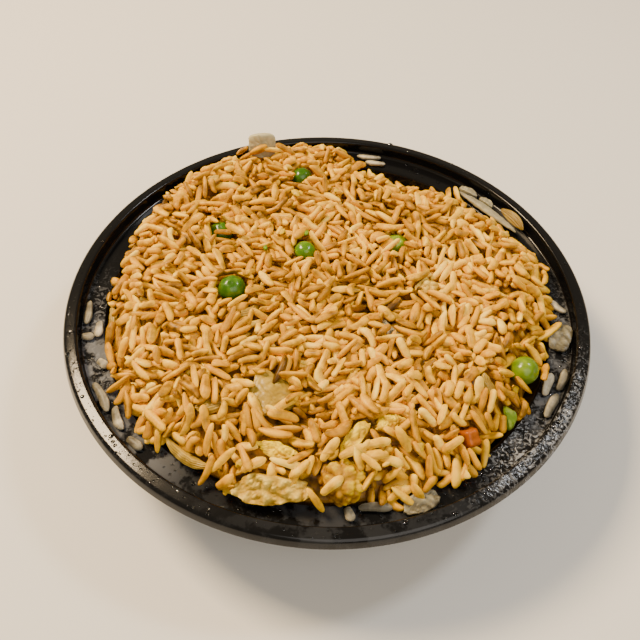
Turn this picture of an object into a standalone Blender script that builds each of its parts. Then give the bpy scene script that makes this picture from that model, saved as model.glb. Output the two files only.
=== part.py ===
"""A round black plastic take-out bowl heaped with fried rice, peas, carrot, egg and onion.

Metres, +Z up. The origin is the middle of the bowl's flat base, on the surface it stands on.
Lengths below are given in millimetres and turned to metres where a mesh is made.
"""

import math

import bmesh
import bpy
import numpy as np
from mathutils import Matrix, Vector

MM = 0.001
GAP = 0.3

# The bowl: a flat base, a sloping side, a flat ledge, a step and a rolled rim.
RIM_RADIUS = 92.0
HEIGHT = 38.0
WALL = 0.8
LEDGE_Z = 33.0
LEDGE_INNER = 78.4
LEDGE_OUTER = 85.6
STEP_RADIUS = 86.4
CREST_RADIUS = 87.1
BEND_RADIUS = 90.4
SKIRT_Z = 34.2
SIDE_FOOT_RADIUS = 70.2
SIDE_FOOT_Z = 8.0
BASE_RADIUS = 61.5
TURN_STEPS = 48

# The heap: its foot is given at a few headings, as azimuth in degrees, the foot's radius,
# the foot's height and the width of the shoulder that rises from it.
HEAP_TOP = 45.0
HEAP_FOOT = (
    (10, 80.0, 34.0, 14),
    (25, 77.5, 32.0, 16),
    (38, 76.5, 29.0, 20),
    (62, 75.5, 23.5, 26),
    (76, 76.0, 25.5, 24),
    (92, 83.5, 34.5, 12),
    (115, 83.5, 35.0, 12),
    (140, 81.5, 35.0, 12),
    (155, 78.5, 34.0, 14),
    (178, 76.8, 29.5, 14),
    (205, 76.8, 30.5, 16),
    (225, 78.2, 33.5, 20),
    (255, 79.2, 34.0, 24),
    (285, 79.2, 34.0, 24),
    (308, 78.2, 33.0, 22),
    (335, 76.8, 30.0, 18),
    (350, 77.2, 31.0, 14),
)
HEAP_CELL = 4.0
HEAP_REACH = 88.0
FLAT_ANGLE = 3.0
BUMP_COUNT = 1500
BUMP_RISE = 2.2
BUMP_SEED = 7

# A cooked long grain.
GRAIN_LENGTH = 9.8
GRAIN_WIDTH = 2.9
GRAIN_PLACES = 100
GRAIN_SIDES = 5
GRAIN_SEED = 21
GOLDEN_ANGLE = math.radians(137.508)
# The middle of a loose grain stands this far above the ledge that it lies on.
GRAIN_REST = 1.58

# Grains joined to the heap: how far out they are spread, how near the heap's edge they may lie
# where its foot is on the ledge and where it is lower, and the share of a grain's length that
# stays clear of each topping.
SPREAD_REACH = 79.0
EDGE_ROOM = 5.5
LOW_EDGE_ROOM = 9.0
TOPPING_ROOM = 0.55

# The heap is cut to the bowl's hollow, which is drawn up to this height, and has a skirt that
# reaches below the bowl's floor.
HOLLOW_TOP = 70.0
SKIRT_TOP = -5.0
SKIRT_FOOT = -10.0

# The room cut for a topping is its form grown by a gap, and by a share of its size.
ROOM_GAP = 1.25 * GAP
ROOM_GROWTH = 0.05

PEA_DIAMETER = 9.2


def clear_scene():
    for old in list(bpy.data.objects):
        bpy.data.objects.remove(old, do_unlink=True)


def collection(name):
    made = bpy.data.collections.new(name)
    bpy.context.scene.collection.children.link(made)
    return made


def linear(hex_colour):
    """The linear RGBA of an sRGB hex colour."""
    parts = [int(hex_colour[i : i + 2], 16) / 255 for i in (1, 3, 5)]
    return [c / 12.92 if c <= 0.04045 else ((c + 0.055) / 1.055) ** 2.4 for c in parts] + [1.0]


def material(name, hex_colour, roughness):
    made = bpy.data.materials.new(name)
    made.use_nodes = True
    shader = made.node_tree.nodes["Principled BSDF"]
    shader.inputs["Base Color"].default_value = linear(hex_colour)
    shader.inputs["Roughness"].default_value = roughness
    made.diffuse_color = linear(hex_colour)
    return made


def add_object(name, mesh, finish, group):
    made = bpy.data.objects.new(name, mesh)
    mesh.materials.clear()
    mesh.materials.append(finish)
    group.objects.link(made)
    return made


def mesh_from(name, shape):
    """A mesh from a bmesh, which is freed."""
    mesh = bpy.data.meshes.new(name)
    bmesh.ops.recalc_face_normals(shape, faces=shape.faces)
    shape.to_mesh(mesh)
    shape.free()
    return mesh


def bake_modifiers(obj):
    """Puts the shape that the object's modifiers give into its own mesh."""
    bpy.context.view_layer.update()
    seen = obj.evaluated_get(bpy.context.evaluated_depsgraph_get())
    mesh = bpy.data.meshes.new_from_object(seen)
    obj.modifiers.clear()
    obj.data = mesh


def turned(name, profile, finish, group):
    """A profile of (radius, height) points, axis to axis, turned about Z."""
    mesh = bpy.data.meshes.new(name)
    points = [(r * MM, 0.0, z * MM) for r, z in profile]
    mesh.from_pydata(points, [(i, i + 1) for i in range(len(points) - 1)], [])
    made = add_object(name, mesh, finish, group)
    screw = made.modifiers.new("Turn", "SCREW")
    screw.steps = TURN_STEPS
    screw.render_steps = TURN_STEPS
    screw.use_merge_vertices = True
    screw.merge_threshold = 0.00005
    return made


def inside_profile():
    """The bowl's inner face from the middle of its floor out and up to the crest of the rim."""
    return [
        (0.0, WALL),
        (BASE_RADIUS, WALL),
        (BASE_RADIUS + 5.2, 2.8),
        (SIDE_FOOT_RADIUS, SIDE_FOOT_Z),
        (LEDGE_INNER - 0.7, LEDGE_Z - 0.7),
        (LEDGE_INNER, LEDGE_Z),
        (LEDGE_OUTER, LEDGE_Z),
        (STEP_RADIUS, LEDGE_Z + 0.8),
        (STEP_RADIUS + 0.1, HEIGHT - 0.7),
        (CREST_RADIUS, HEIGHT),
    ]


def outside_profile():
    """The bowl's outer face from the crest over the rolled rim and down to the base."""
    return [
        (BEND_RADIUS, HEIGHT - 0.5),
        (BEND_RADIUS + 0.8, HEIGHT - 1.1),
        (RIM_RADIUS, SKIRT_Z + 0.2),
        (RIM_RADIUS - 0.4, SKIRT_Z - 0.1),
        (RIM_RADIUS - 0.9, SKIRT_Z + 0.2),
        (BEND_RADIUS - 0.2, HEIGHT - 1.4),
        (CREST_RADIUS + 0.5, HEIGHT - WALL - 0.1),
        (STEP_RADIUS + WALL, LEDGE_Z + 0.3),
        (LEDGE_OUTER + 0.6, LEDGE_Z - WALL),
        (LEDGE_INNER + 0.4, LEDGE_Z - WALL),
        (SIDE_FOOT_RADIUS + WALL, SIDE_FOOT_Z - 0.2),
        (BASE_RADIUS + 5.6, 1.8),
        (BASE_RADIUS, 0.0),
        (0.0, 0.0),
    ]


def moved_in(profile, distance):
    """The profile moved towards the bowl's hollow, each point along its mean normal."""
    points = np.array(profile)
    steps = np.diff(points, axis=0)
    steps /= np.linalg.norm(steps, axis=1)[:, None]
    normals = np.stack([-steps[:, 1], steps[:, 0]], axis=1)
    before = np.vstack([normals[:1], normals])
    after = np.vstack([normals, normals[-1:]])
    mean = before + after
    mean /= (mean * before).sum(axis=1)[:, None]
    moved = points + distance * mean
    moved[0, 0] = 0.0
    return [tuple(p) for p in moved]


def heap_foot(azimuth):
    """The foot's radius, height and shoulder width at an azimuth in radians, eased between headings."""
    stations = np.array(HEAP_FOOT, float)
    first = stations[0] + [360, 0, 0, 0]
    last = stations[-1] - [360, 0, 0, 0]
    stations = np.vstack([last, stations, first])
    degrees = np.degrees(azimuth) % 360
    index = np.searchsorted(stations[:, 0], degrees, side="right") - 1
    near, far = stations[index], stations[index + 1]
    part = (degrees - near[..., 0]) / (far[..., 0] - near[..., 0])
    ease = (1 - np.cos(np.pi * part)) / 2
    values = near[..., 1:] + (far[..., 1:] - near[..., 1:]) * ease[..., None]
    return values[..., 0], values[..., 1], values[..., 2]


def heap_height(x, y):
    """The heap's smooth height: a low plateau that rounds down to the foot and drops beyond it."""
    x, y = np.asarray(x, float), np.asarray(y, float)
    radius, foot, shoulder = heap_foot(np.arctan2(y, x))
    inward = (radius - np.hypot(x, y)) / shoulder
    top = HEAP_TOP - 0.035 * np.maximum(y, 0) + 1.2 * np.sin(x / 17 + 1) * np.cos(y / 21)
    rise = np.sin(np.pi / 2 * np.clip(inward, 0, 1)) ** 0.9
    inside = foot + (top - foot) * rise
    return np.where(inward < 0, foot + inward * shoulder * 2.5, inside)


def grain_bumps(x, y):
    """Bumps of a grain's size, each the cap of a long grain that lies on its own heading."""
    draw = np.random.default_rng(BUMP_SEED)
    reach = HEAP_REACH * np.sqrt(draw.random(BUMP_COUNT))
    around = draw.random(BUMP_COUNT) * 2 * np.pi
    heading = draw.random(BUMP_COUNT) * np.pi
    rise = draw.uniform(0.3, 1.0, BUMP_COUNT) * BUMP_RISE
    dx = x[:, None] - reach * np.cos(around)
    dy = y[:, None] - reach * np.sin(around)
    along = dx * np.cos(heading) + dy * np.sin(heading)
    across = dy * np.cos(heading) - dx * np.sin(heading)
    inside = 1 - (2 * along / GRAIN_LENGTH) ** 2 - (across / GRAIN_WIDTH) ** 2
    return (np.sqrt(np.clip(inside, 0, 1)) * rise).max(axis=1)


def heap_block(finish, group):
    """A grid shaped as the heap's top, closed by a skirt and a flat bottom below the bowl's floor."""
    cells = round(2 * HEAP_REACH / HEAP_CELL)
    shape = bmesh.new()
    bmesh.ops.create_grid(shape, x_segments=cells, y_segments=cells, size=HEAP_REACH * MM)
    flat = np.array([v.co[:2] for v in shape.verts]) / MM
    height = heap_height(flat[:, 0], flat[:, 1]) + grain_bumps(flat[:, 0], flat[:, 1]) - BUMP_RISE / 2
    for vertex, z in zip(shape.verts, height):
        vertex.co.z = max(z, SKIRT_TOP) * MM
    rim = [edge for edge in shape.edges if edge.is_boundary]
    skirt = bmesh.ops.extrude_edge_only(shape, edges=rim)["geom"]
    for item in skirt:
        if isinstance(item, bmesh.types.BMVert):
            item.co.z = SKIRT_FOOT * MM
    bottom = [edge for edge in shape.edges if edge.is_boundary]
    bmesh.ops.contextual_create(shape, geom=bottom)
    bmesh.ops.triangulate(shape, faces=shape.faces)
    return add_object("rice", mesh_from("rice", shape), finish, group)


def boolean(obj, operation, other):
    """Joins or cuts the object with another object or a whole collection, and applies it."""
    cut = obj.modifiers.new(operation.title(), "BOOLEAN")
    cut.operation = operation
    cut.solver = "EXACT"
    if isinstance(other, bpy.types.Collection):
        cut.operand_type = "COLLECTION"
        cut.collection = other
    else:
        cut.object = other
    bake_modifiers(obj)


def keep_largest_body(obj, flat_angle):
    """Keeps the largest closed shell, without sealed hollows and scraps, and joins near-flat faces."""
    shape = bmesh.new()
    shape.from_mesh(obj.data)
    bmesh.ops.remove_doubles(shape, verts=shape.verts, dist=1e-7)
    left = set(shape.faces)
    shells = []
    while left:
        shell = []
        front = [left.pop()]
        while front:
            face = front.pop()
            shell.append(face)
            for edge in face.edges:
                for near in edge.link_faces:
                    if near in left:
                        left.remove(near)
                        front.append(near)
        shells.append(shell)
    shells.sort(key=len)
    loose = [face for shell in shells[:-1] for face in shell]
    bmesh.ops.delete(shape, geom=loose, context="FACES")
    flat = math.radians(flat_angle)
    bmesh.ops.dissolve_limit(shape, angle_limit=flat, verts=shape.verts, edges=shape.edges)
    bmesh.ops.triangulate(shape, faces=shape.faces)
    shape.to_mesh(obj.data)
    shape.free()


def surface_frame(x, y, heading, lift=0.0, pitch=0.0, roll=0.0):
    """The placement of a piece that lies on the heap's smooth surface, turned to its heading."""
    step = 2.0
    z = float(heap_height(x, y))
    slope_x = (float(heap_height(x + step, y)) - float(heap_height(x - step, y))) / (2 * step)
    slope_y = (float(heap_height(x, y + step)) - float(heap_height(x, y - step))) / (2 * step)
    normal = Vector((-slope_x, -slope_y, 1)).normalized()
    along = Vector((math.cos(heading), math.sin(heading), 0))
    along = (along - normal * along.dot(normal)).normalized()
    turn = Matrix((along, normal.cross(along), normal)).transposed().to_4x4()
    place = Matrix.Translation(Vector((x, y, z)) * MM + normal * lift * MM)
    return place @ turn @ Matrix.Rotation(pitch, 4, "Y") @ Matrix.Rotation(roll, 4, "X")


def ledge_frame(radius, azimuth, heading, height, pitch=0.0, roll=0.0):
    """The placement of a piece on the bowl's ledge, its heading measured from the ledge's own run."""
    angle = math.radians(azimuth)
    place = Matrix.Translation(Vector((radius * math.cos(angle), radius * math.sin(angle), height)) * MM)
    turn = Matrix.Rotation(angle + math.pi / 2 + math.radians(heading), 4, "Z")
    lean = Matrix.Rotation(math.radians(pitch), 4, "Y") @ Matrix.Rotation(math.radians(roll), 4, "X")
    return place @ turn @ lean


def round_body(length, width, height, sides, rings):
    """A ball of a few sides, drawn out along X, as a bmesh at the origin."""
    shape = bmesh.new()
    bmesh.ops.create_uvsphere(shape, u_segments=sides, v_segments=rings, radius=0.5)
    bmesh.ops.rotate(shape, verts=shape.verts, matrix=Matrix.Rotation(math.pi / 2, 3, "Y"))
    bmesh.ops.scale(shape, verts=shape.verts, vec=(length * MM, width * MM, height * MM))
    return shape


def grain_shape(length, width, bow):
    """A grain of rice: blunt ends, and a middle bowed sideways by the given distance."""
    shape = round_body(length, width, width * 0.92, GRAIN_SIDES, 4)
    for vertex in shape.verts:
        part = 2 * vertex.co.x / (length * MM)
        swell = 1 + 0.45 * min(abs(part), 0.75) ** 2
        vertex.co.y = vertex.co.y * swell + bow * MM * (1 - part * part)
        vertex.co.z *= swell
    return shape


def flake_shape(length, width, thickness, bend, ripple, waves, cells=(5, 2)):
    """A thin wavy piece: a rounded outline bent along its length, rippled, then given its thickness."""
    shape = bmesh.new()
    bmesh.ops.create_grid(shape, x_segments=cells[0], y_segments=cells[1], size=1.0)
    for vertex in shape.verts:
        u, v = vertex.co.x, vertex.co.y
        taper = 1 - 0.35 * u * u
        rise = bend * (0.5 - u * u) + ripple * math.sin(waves * u + 2 * v)
        vertex.co.x = length / 2 * u * (1 - 0.12 * v * v) * MM
        vertex.co.y = width / 2 * v * taper * MM
        vertex.co.z = rise * MM
    bmesh.ops.solidify(shape, geom=shape.faces[:], thickness=thickness * MM)
    bmesh.ops.triangulate(shape, faces=shape.faces)
    return shape


def crescent_shape(radius, spread, width, thickness, cells=6):
    """A curved strip: an arc of the given radius and spread in degrees, thin, tapering to its ends."""
    shape = bmesh.new()
    bmesh.ops.create_grid(shape, x_segments=cells, y_segments=2, size=1.0)
    for vertex in shape.verts:
        u, v = vertex.co.x, vertex.co.y
        angle = math.radians(spread) / 2 * u
        out = radius + width / 2 * v * (1 - 0.55 * u * u)
        vertex.co.x = out * math.sin(angle) * MM
        vertex.co.y = (radius - out * math.cos(angle)) * MM
        vertex.co.z = 0.25 * thickness * (1 - v * v) * MM
    bmesh.ops.solidify(shape, geom=shape.faces[:], thickness=thickness * MM)
    bmesh.ops.triangulate(shape, faces=shape.faces)
    return shape


def clump_shape(length, width, height, seed):
    """A folded lump: a ball with folds, as the sum of a few seeded waves along its radius."""
    shape = round_body(length, width, height, 12, 8)
    draw = np.random.default_rng(seed)
    waves = draw.normal(0, 1, (5, 3))
    phases = draw.uniform(0, 2 * math.pi, 5)
    for vertex in shape.verts:
        across = np.array((vertex.co.x / length, vertex.co.y / width, vertex.co.z / height)) / MM
        fold = float(np.sin(4.5 * waves @ across + phases).sum()) * 0.05
        vertex.co *= 1 + fold
    return shape


def wedge_shape(length, width, height, narrow):
    """A cut block, narrower at its top, with its corners knocked off."""
    shape = bmesh.new()
    bmesh.ops.create_cube(shape, size=1.0)
    bmesh.ops.scale(shape, verts=shape.verts, vec=(length * MM, width * MM, height * MM))
    for vertex in shape.verts:
        if vertex.co.z > 0:
            vertex.co.x *= narrow
    edges = shape.edges[:]
    bmesh.ops.bevel(shape, geom=edges, offset=0.6 * MM, segments=1, affect="EDGES")
    bmesh.ops.triangulate(shape, faces=shape.faces)
    return shape


def place_piece(name, shape, placement, finish, group):
    """A piece with its mesh at its own origin and its place in its object's matrix."""
    mesh = mesh_from(name, shape)
    mesh.shade_smooth()
    made = add_object(name, mesh, finish, group)
    made.matrix_world = placement
    return made


def peas(group):
    """Whole peas, half sunk in the heap: x, y, how far the middle stands above the surface, and size."""
    bright = material("pea_green", "#5FA31C", 0.3)
    dark = material("pea_dark", "#3B7A14", 0.3)
    light = material("pea_light", "#86B81F", 0.3)
    rows = (
        ("pea_1", -32.6, -6.4, 1.6, 1.03, dark),
        ("pea_2", -8.5, 12.4, 0.4, 0.84, bright),
        ("pea_3", -11.1, 57.0, -0.4, 0.9, dark),
        ("pea_4", 62.4, -32.8, 2.0, 1.04, light),
        ("pea_5", -40.0, 25.0, -2.2, 0.95, dark),
        ("pea_6", 24.6, 19.0, -1.8, 0.95, light),
    )
    made = []
    for name, x, y, lift, size, finish in rows:
        width = PEA_DIAMETER * size
        shape = round_body(width, width * 0.96, width * 0.93, 10, 7)
        made.append(place_piece(name, shape, surface_frame(x, y, 0.4, lift), finish, group))
    return made


def place_rows(rows, frame_of, group):
    """Places one piece for each row of name, shape, place and finish, by the given frame function."""
    made = []
    for name, shape, place, finish in rows:
        made.append(place_piece(name, shape, frame_of(*place), finish, group))
    return made


def egg(group):
    """Scrambled egg: a folded clump, a pale flake at the front edge, and strips and scraps."""
    yellow = material("egg_yellow", "#F2BC35", 0.45)
    pale = material("egg_pale", "#EBDD93", 0.45)
    rows = (
        ("egg_clump", clump_shape(13.4, 13.2, 8.0, 3), (4.7, -73.2, 0.1, 1.5), yellow),
        ("egg_pale_flake", flake_shape(21.5, 8.0, 1.8, 1.2, 0.7, 5.0), (-15.2, -74.9, 0.0, 2.1), pale),
        ("egg_strip", flake_shape(12.5, 4.2, 1.8, 1.0, 0.4, 4.0), (8.5, -61.6, 0.89, 1.2), yellow),
        ("egg_fold", flake_shape(9.5, 4.4, 1.8, 1.0, 0.4, 4.0, (4, 2)), (18.8, -57.1, 0.36, 1.0), yellow),
        ("egg_flake", flake_shape(12.0, 4.5, 1.6, 0.8, 0.4, 4.0), (-14.1, -65.6, -0.28, 0.9), yellow),
        ("egg_cream_flake", flake_shape(9.0, 6.0, 1.8, 1.2, 0.5, 4.0), (33.8, -4.4, 0.5, 1.0), pale),
        ("egg_scrap", flake_shape(6.5, 4.0, 1.6, 0.6, 0.3, 4.0, (4, 2)), (-45.3, 50.6, 1.2, 0.9), pale),
    )
    return place_rows(rows, surface_frame, group)


def vegetables(group):
    """A carrot wedge, a scrap of pea skin, and onion as a block, a round slice, crescents and strips."""
    orange = material("carrot", "#E0701A", 0.4)
    skin = material("pea_skin", "#6E9E2A", 0.4)
    onion = material("onion", "#DCC98A", 0.3)
    clear = material("onion_clear", "#CBCBA2", 0.25)
    flat_round = flake_shape(14.5, 15.0, 2.0, 1.6, 0.2, 3.0, (5, 4))
    right_scrap = flake_shape(12.0, 7.6, 1.0, 0.5, 0.2, 3.0, (4, 2))
    upright = (-27.4, 69.5, 0.15, 4.6, math.radians(4), math.radians(96))
    on_the_heap = (
        ("carrot_wedge", wedge_shape(6.2, 5.2, 8.0, 0.75), (42.3, -58.1, 0.4, 0.8), orange),
        ("pea_skin", flake_shape(7.5, 4.2, 1.0, 1.4, 0.3, 3.0, (4, 2)), (56.4, -48.9, -0.97, 1.2), skin),
        ("onion_block", flake_shape(11.4, 11.0, 2.6, 1.2, 0.2, 3.0, (3, 3)), upright, clear),
        ("onion_round", flat_round, (-17.1, -49.2, 0.3, 0.6), onion),
        ("onion_crescent", crescent_shape(17.0, 62, 3.4, 1.6), (-40.6, -65.4, -0.55, 1.2), onion),
        ("onion_strip_1", crescent_shape(14.0, 45, 3.2, 1.4), (20.6, -24.2, -0.9, 0.8), clear),
        ("onion_strip_2", crescent_shape(12.0, 45, 3.4, 1.4), (-26.5, -16.9, 0.5, 0.8), onion),
        ("onion_strip_3", crescent_shape(11.0, 50, 4.0, 1.4), (-34.3, -53.5, 0.2, 0.8), onion),
        ("onion_strip_4", crescent_shape(12.0, 45, 4.0, 1.4), (49.8, -42.6, -0.9, 0.8), onion),
        ("onion_edge", crescent_shape(15.0, 48, 4.2, 1.6), (-72.6, -14.0, 1.42, 1.0), onion),
    )
    on_the_ledge = (
        ("onion_back", crescent_shape(110.0, 16.5, 3.2, 1.3, 9), (80.2, 37.6, 3, 34.5), clear),
        ("onion_back_2", crescent_shape(30.0, 26, 4.2, 1.3), (84.0, 30.2, 0, 36.5, 0, -38), onion),
        ("onion_back_3", flake_shape(8.0, 3.2, 1.2, 0.6, 0.2, 3.0, (4, 2)), (83.2, 46.6, 6, 34.7), clear),
        ("onion_back_4", flake_shape(6.5, 2.8, 1.2, 0.6, 0.2, 3.0, (4, 2)), (83.6, 40.2, 2, 34.7), clear),
        ("onion_right", right_scrap, (81.7, 349.4, -11, 34.9), clear),
        ("onion_front", flake_shape(11.4, 6.0, 1.2, 0.6, 0.2, 3.0, (4, 2)), (82.3, 290.0, 8, 34.9), clear),
    )
    return place_rows(on_the_heap, surface_frame, group) + place_rows(on_the_ledge, ledge_frame, group)


def ledge_grains(group):
    """Loose grains on the ledge: radius, azimuth, heading off the ledge's run, length and bow."""
    finish = material("rice_pale", "#D6CBA6", 0.35)
    rows = (
        ("grain_left_1", 84.2, 186, 0, 10.5, 0.3),
        ("grain_left_2", 83.8, 193.4, 78, 4.4, 0.1),
        ("grain_left_3", 80.0, 191.6, -7, 6.8, 0.2),
        ("grain_left_4", 80.0, 202.5, 30, 4.8, 0.2),
        ("grain_left_5", 84.2, 211.3, 1, 12.6, 0.8),
        ("grain_left_6", 82.4, 218.4, -14, 9.4, -0.5),
        ("grain_left_7", 83.5, 226.0, 8, 6.4, 0.2),
        ("grain_front_1", 80.4, 280.6, -9, 10.0, 0.5),
        ("grain_front_2", 81.5, 275.2, -74, 4.6, 0.1),
        ("grain_right_1", 80.4, 334.6, 0, 9.8, 0.3),
        ("grain_right_2", 84.0, 329.4, -1, 10.6, 0.4),
        ("grain_right_3", 84.0, 337.2, -5, 9.6, -0.4),
        ("grain_right_4", 82.6, 359.5, 40, 7.0, 0.9),
        ("grain_back_1", 83.7, 78.4, 6, 10.4, 0.4),
        ("grain_back_2", 80.4, 76.0, 6, 8.6, 0.3),
    )
    made = []
    for name, radius, azimuth, heading, length, bow in rows:
        shape = grain_shape(length, GRAIN_WIDTH, bow)
        placement = ledge_frame(radius, azimuth, heading, LEDGE_Z + GRAIN_REST)
        made.append(place_piece(name, shape, placement, finish, group))
    return made


def clearance(piece, group):
    """A copy of a piece grown by the gap, which cuts its room out of the heap."""
    shape = bmesh.new()
    shape.from_mesh(piece.data)
    shape.transform(piece.matrix_world)
    shape.normal_update()
    centre = piece.matrix_world.translation
    grown = [v.co + v.normal * ROOM_GAP * MM + (v.co - centre) * ROOM_GROWTH for v in shape.verts]
    for vertex, place in zip(shape.verts, grown):
        vertex.co = place
    name = piece.name + "_room"
    cutter = add_object(name, mesh_from(name, shape), piece.data.materials[0], group)
    cutter.hide_render = True
    cutter.display_type = "WIRE"


def loose_grain_places(pieces):
    """Evenly spread places on the heap, by a sunflower spiral, clear of the toppings and the bowl."""
    centres = np.array([tuple(piece.matrix_world.translation) for piece in pieces])[:, :2] / MM
    sizes = np.array([max(piece.dimensions) for piece in pieces]) / MM / 2
    draw = np.random.default_rng(GRAIN_SEED)
    for index in range(GRAIN_PLACES):
        reach = SPREAD_REACH * math.sqrt((index + 0.5) / GRAIN_PLACES) + draw.normal(0, 0.8)
        around = GOLDEN_ANGLE * index + draw.normal(0, 0.03)
        heading, pitch = draw.uniform(0, math.pi), draw.normal(0, 0.2)
        length = GRAIN_LENGTH * draw.uniform(0.85, 1.12)
        lift, bow = draw.uniform(0.3, 1.2), draw.normal(0, 0.35)
        x, y = reach * math.cos(around), reach * math.sin(around)
        radius, foot, _ = heap_foot(np.array(around % (2 * math.pi)))
        edge_room = EDGE_ROOM if foot >= LEDGE_Z - 1 else LOW_EDGE_ROOM
        room = np.hypot(*(centres - (x, y)).T) - sizes
        if reach > radius - edge_room or room.min() < length * TOPPING_ROOM:
            continue
        yield x, y, heading, pitch, length, lift, bow


def rice(pieces, group):
    """The heap: its top within the bowl's hollow, room for each topping, and grains joined on."""
    finish = material("rice", "#D9A563", 0.45)
    helpers = collection("helpers")
    heap = heap_block(finish, group)
    lid = [(0.0, HOLLOW_TOP), (STEP_RADIUS - GAP, HOLLOW_TOP)]
    hollow = turned("hollow", lid + moved_in(inside_profile(), GAP)[::-1][1:], finish, helpers)
    boolean(heap, "INTERSECT", hollow)
    keep_largest_body(heap, FLAT_ANGLE)
    loose = collection("loose")
    for index, (x, y, heading, pitch, length, lift, bow) in enumerate(loose_grain_places(pieces)):
        placement = surface_frame(x, y, heading, lift, pitch)
        place_piece(f"loose_{index}", grain_shape(length, GRAIN_WIDTH, bow), placement, finish, loose)
    boolean(heap, "UNION", loose)
    rooms = collection("rooms")
    for piece in pieces:
        clearance(piece, rooms)
    boolean(heap, "DIFFERENCE", rooms)
    keep_largest_body(heap, FLAT_ANGLE / 3)
    for helper in (helpers, rooms, loose):
        for obj in list(helper.objects):
            bpy.data.objects.remove(obj, do_unlink=True)
        bpy.data.collections.remove(helper)
    heap.data.set_sharp_from_angle(angle=math.radians(50))


def bowl(group):
    finish = material("black_plastic", "#0D0D0E", 0.22)
    made = turned("bowl", inside_profile() + outside_profile(), finish, group)
    bake_modifiers(made)
    made.data.shade_smooth()
    made.data.set_sharp_from_angle(angle=math.radians(35))


def main():
    clear_scene()
    group = collection("fried_rice_bowl")
    bowl(group)
    toppings = peas(group) + egg(group) + vegetables(group) + ledge_grains(group)
    bpy.context.view_layer.update()
    rice(toppings, group)


main()
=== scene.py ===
"""Fried rice in a round black take-out bowl: the finished look, laid out as an add-on.

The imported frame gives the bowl's box and the nodes that the pieces here stand for.
Shapes are worked out in millimetres with numpy and put into meshes in metres.
"""

import math
from types import SimpleNamespace

import bpy
import numpy as np
from bpy.props import FloatProperty, FloatVectorProperty, IntProperty, PointerProperty
from mathutils import Matrix, Vector


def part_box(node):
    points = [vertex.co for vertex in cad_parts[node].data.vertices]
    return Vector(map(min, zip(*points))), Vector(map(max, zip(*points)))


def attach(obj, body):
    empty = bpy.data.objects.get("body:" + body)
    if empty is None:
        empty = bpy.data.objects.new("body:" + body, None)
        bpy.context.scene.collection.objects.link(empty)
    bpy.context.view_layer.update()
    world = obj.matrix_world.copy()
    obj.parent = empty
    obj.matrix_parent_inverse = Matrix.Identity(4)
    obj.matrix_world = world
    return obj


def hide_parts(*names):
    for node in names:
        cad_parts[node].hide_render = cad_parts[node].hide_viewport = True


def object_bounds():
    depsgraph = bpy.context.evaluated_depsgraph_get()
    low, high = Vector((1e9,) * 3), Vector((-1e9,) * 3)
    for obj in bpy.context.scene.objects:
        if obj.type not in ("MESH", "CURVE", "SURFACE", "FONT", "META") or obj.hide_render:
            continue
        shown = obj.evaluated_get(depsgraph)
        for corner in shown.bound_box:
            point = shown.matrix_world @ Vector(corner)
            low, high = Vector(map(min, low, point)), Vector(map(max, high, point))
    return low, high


bl_info = {
    "name": "Fried rice bowl",
    "version": (1, 0, 0),
    "blender": (4, 5, 0),
    "location": "3D View > Sidebar > Fried rice",
    "description": "Makes a take-out bowl of fried rice with peas, egg, carrot and onion",
    "category": "Add Mesh",
}

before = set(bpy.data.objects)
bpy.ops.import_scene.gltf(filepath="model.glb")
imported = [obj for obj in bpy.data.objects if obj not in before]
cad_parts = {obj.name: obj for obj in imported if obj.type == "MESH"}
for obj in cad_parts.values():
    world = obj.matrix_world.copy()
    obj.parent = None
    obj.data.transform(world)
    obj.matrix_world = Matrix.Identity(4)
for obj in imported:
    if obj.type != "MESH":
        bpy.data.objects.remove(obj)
CAD_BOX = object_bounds()
MM = 0.001
CAD_TOP = CAD_BOX[1][2] / MM

# The bowl's measures, in millimetres; its width and height come from the frame.
BOWL_LOW, BOWL_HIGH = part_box("bowl")
RIM_RADIUS = (BOWL_HIGH[0] - BOWL_LOW[0]) / 2 / MM
HEIGHT = BOWL_HIGH[2] / MM
WALL = 0.8
LEDGE_Z = HEIGHT - 5.0
LEDGE_INNER = 78.4
LEDGE_OUTER = 85.6
STEP_RADIUS = 86.4
CREST_RADIUS = 87.1
BEND_RADIUS = 90.4
SKIRT_Z = 34.2
SIDE_FOOT_RADIUS = 70.2
SIDE_FOOT_Z = 8.0
BASE_RADIUS = 61.5

# The heap's foot: azimuth in degrees, radius, height and width of the shoulder above it.
HEAP_TOP = 45.0
HEAP_FOOT = (
    (10, 80.0, 34.0, 14),
    (25, 77.5, 32.0, 16),
    (38, 76.5, 29.0, 20),
    (62, 75.5, 23.5, 26),
    (76, 76.0, 25.5, 24),
    (92, 83.5, 34.5, 12),
    (115, 83.5, 35.0, 12),
    (140, 81.5, 35.0, 12),
    (155, 78.5, 34.0, 14),
    (178, 76.8, 29.5, 14),
    (205, 76.8, 30.5, 16),
    (225, 78.2, 33.5, 20),
    (255, 79.2, 34.0, 24),
    (285, 79.2, 34.0, 24),
    (308, 78.2, 33.0, 22),
    (335, 76.8, 30.0, 18),
    (350, 77.2, 31.0, 14),
)

# The height map that grains are laid on: a cell's size and the map's half width, in millimetres.
CELL = 0.4
REACH = 88.0
CELLS = round(2 * REACH / CELL)

# How thick the layer of single grains is, and how far the core reaches up into it.
LAYER = 4.8
CORE_RISE = 0.8

# How grains are laid: headings in half a turn, lengths as shares of a whole grain, how far a grain
# sinks between those below, the gap that needs one more grain, and when each pass gives up.
TURNS = 36
GRAIN_PARTS = (0.6, 0.78, 0.92, 1.06)
SINK = 0.7
GAP_LEFT = 1.3
DROPS_MISSED = 1200
PUSHES_MISSED = 500
CLEAR_OF_STEP = 0.5
LEAST_GRAINS = 500

# Places looked at for each grain, and the chance that it keeps to the run, or that others follow it.
DROP_PLACES = 7
PUSH_PLACES = 12
KEEPS_TO_RUN = 0.6
OTHERS_FOLLOW = 0.45

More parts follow.
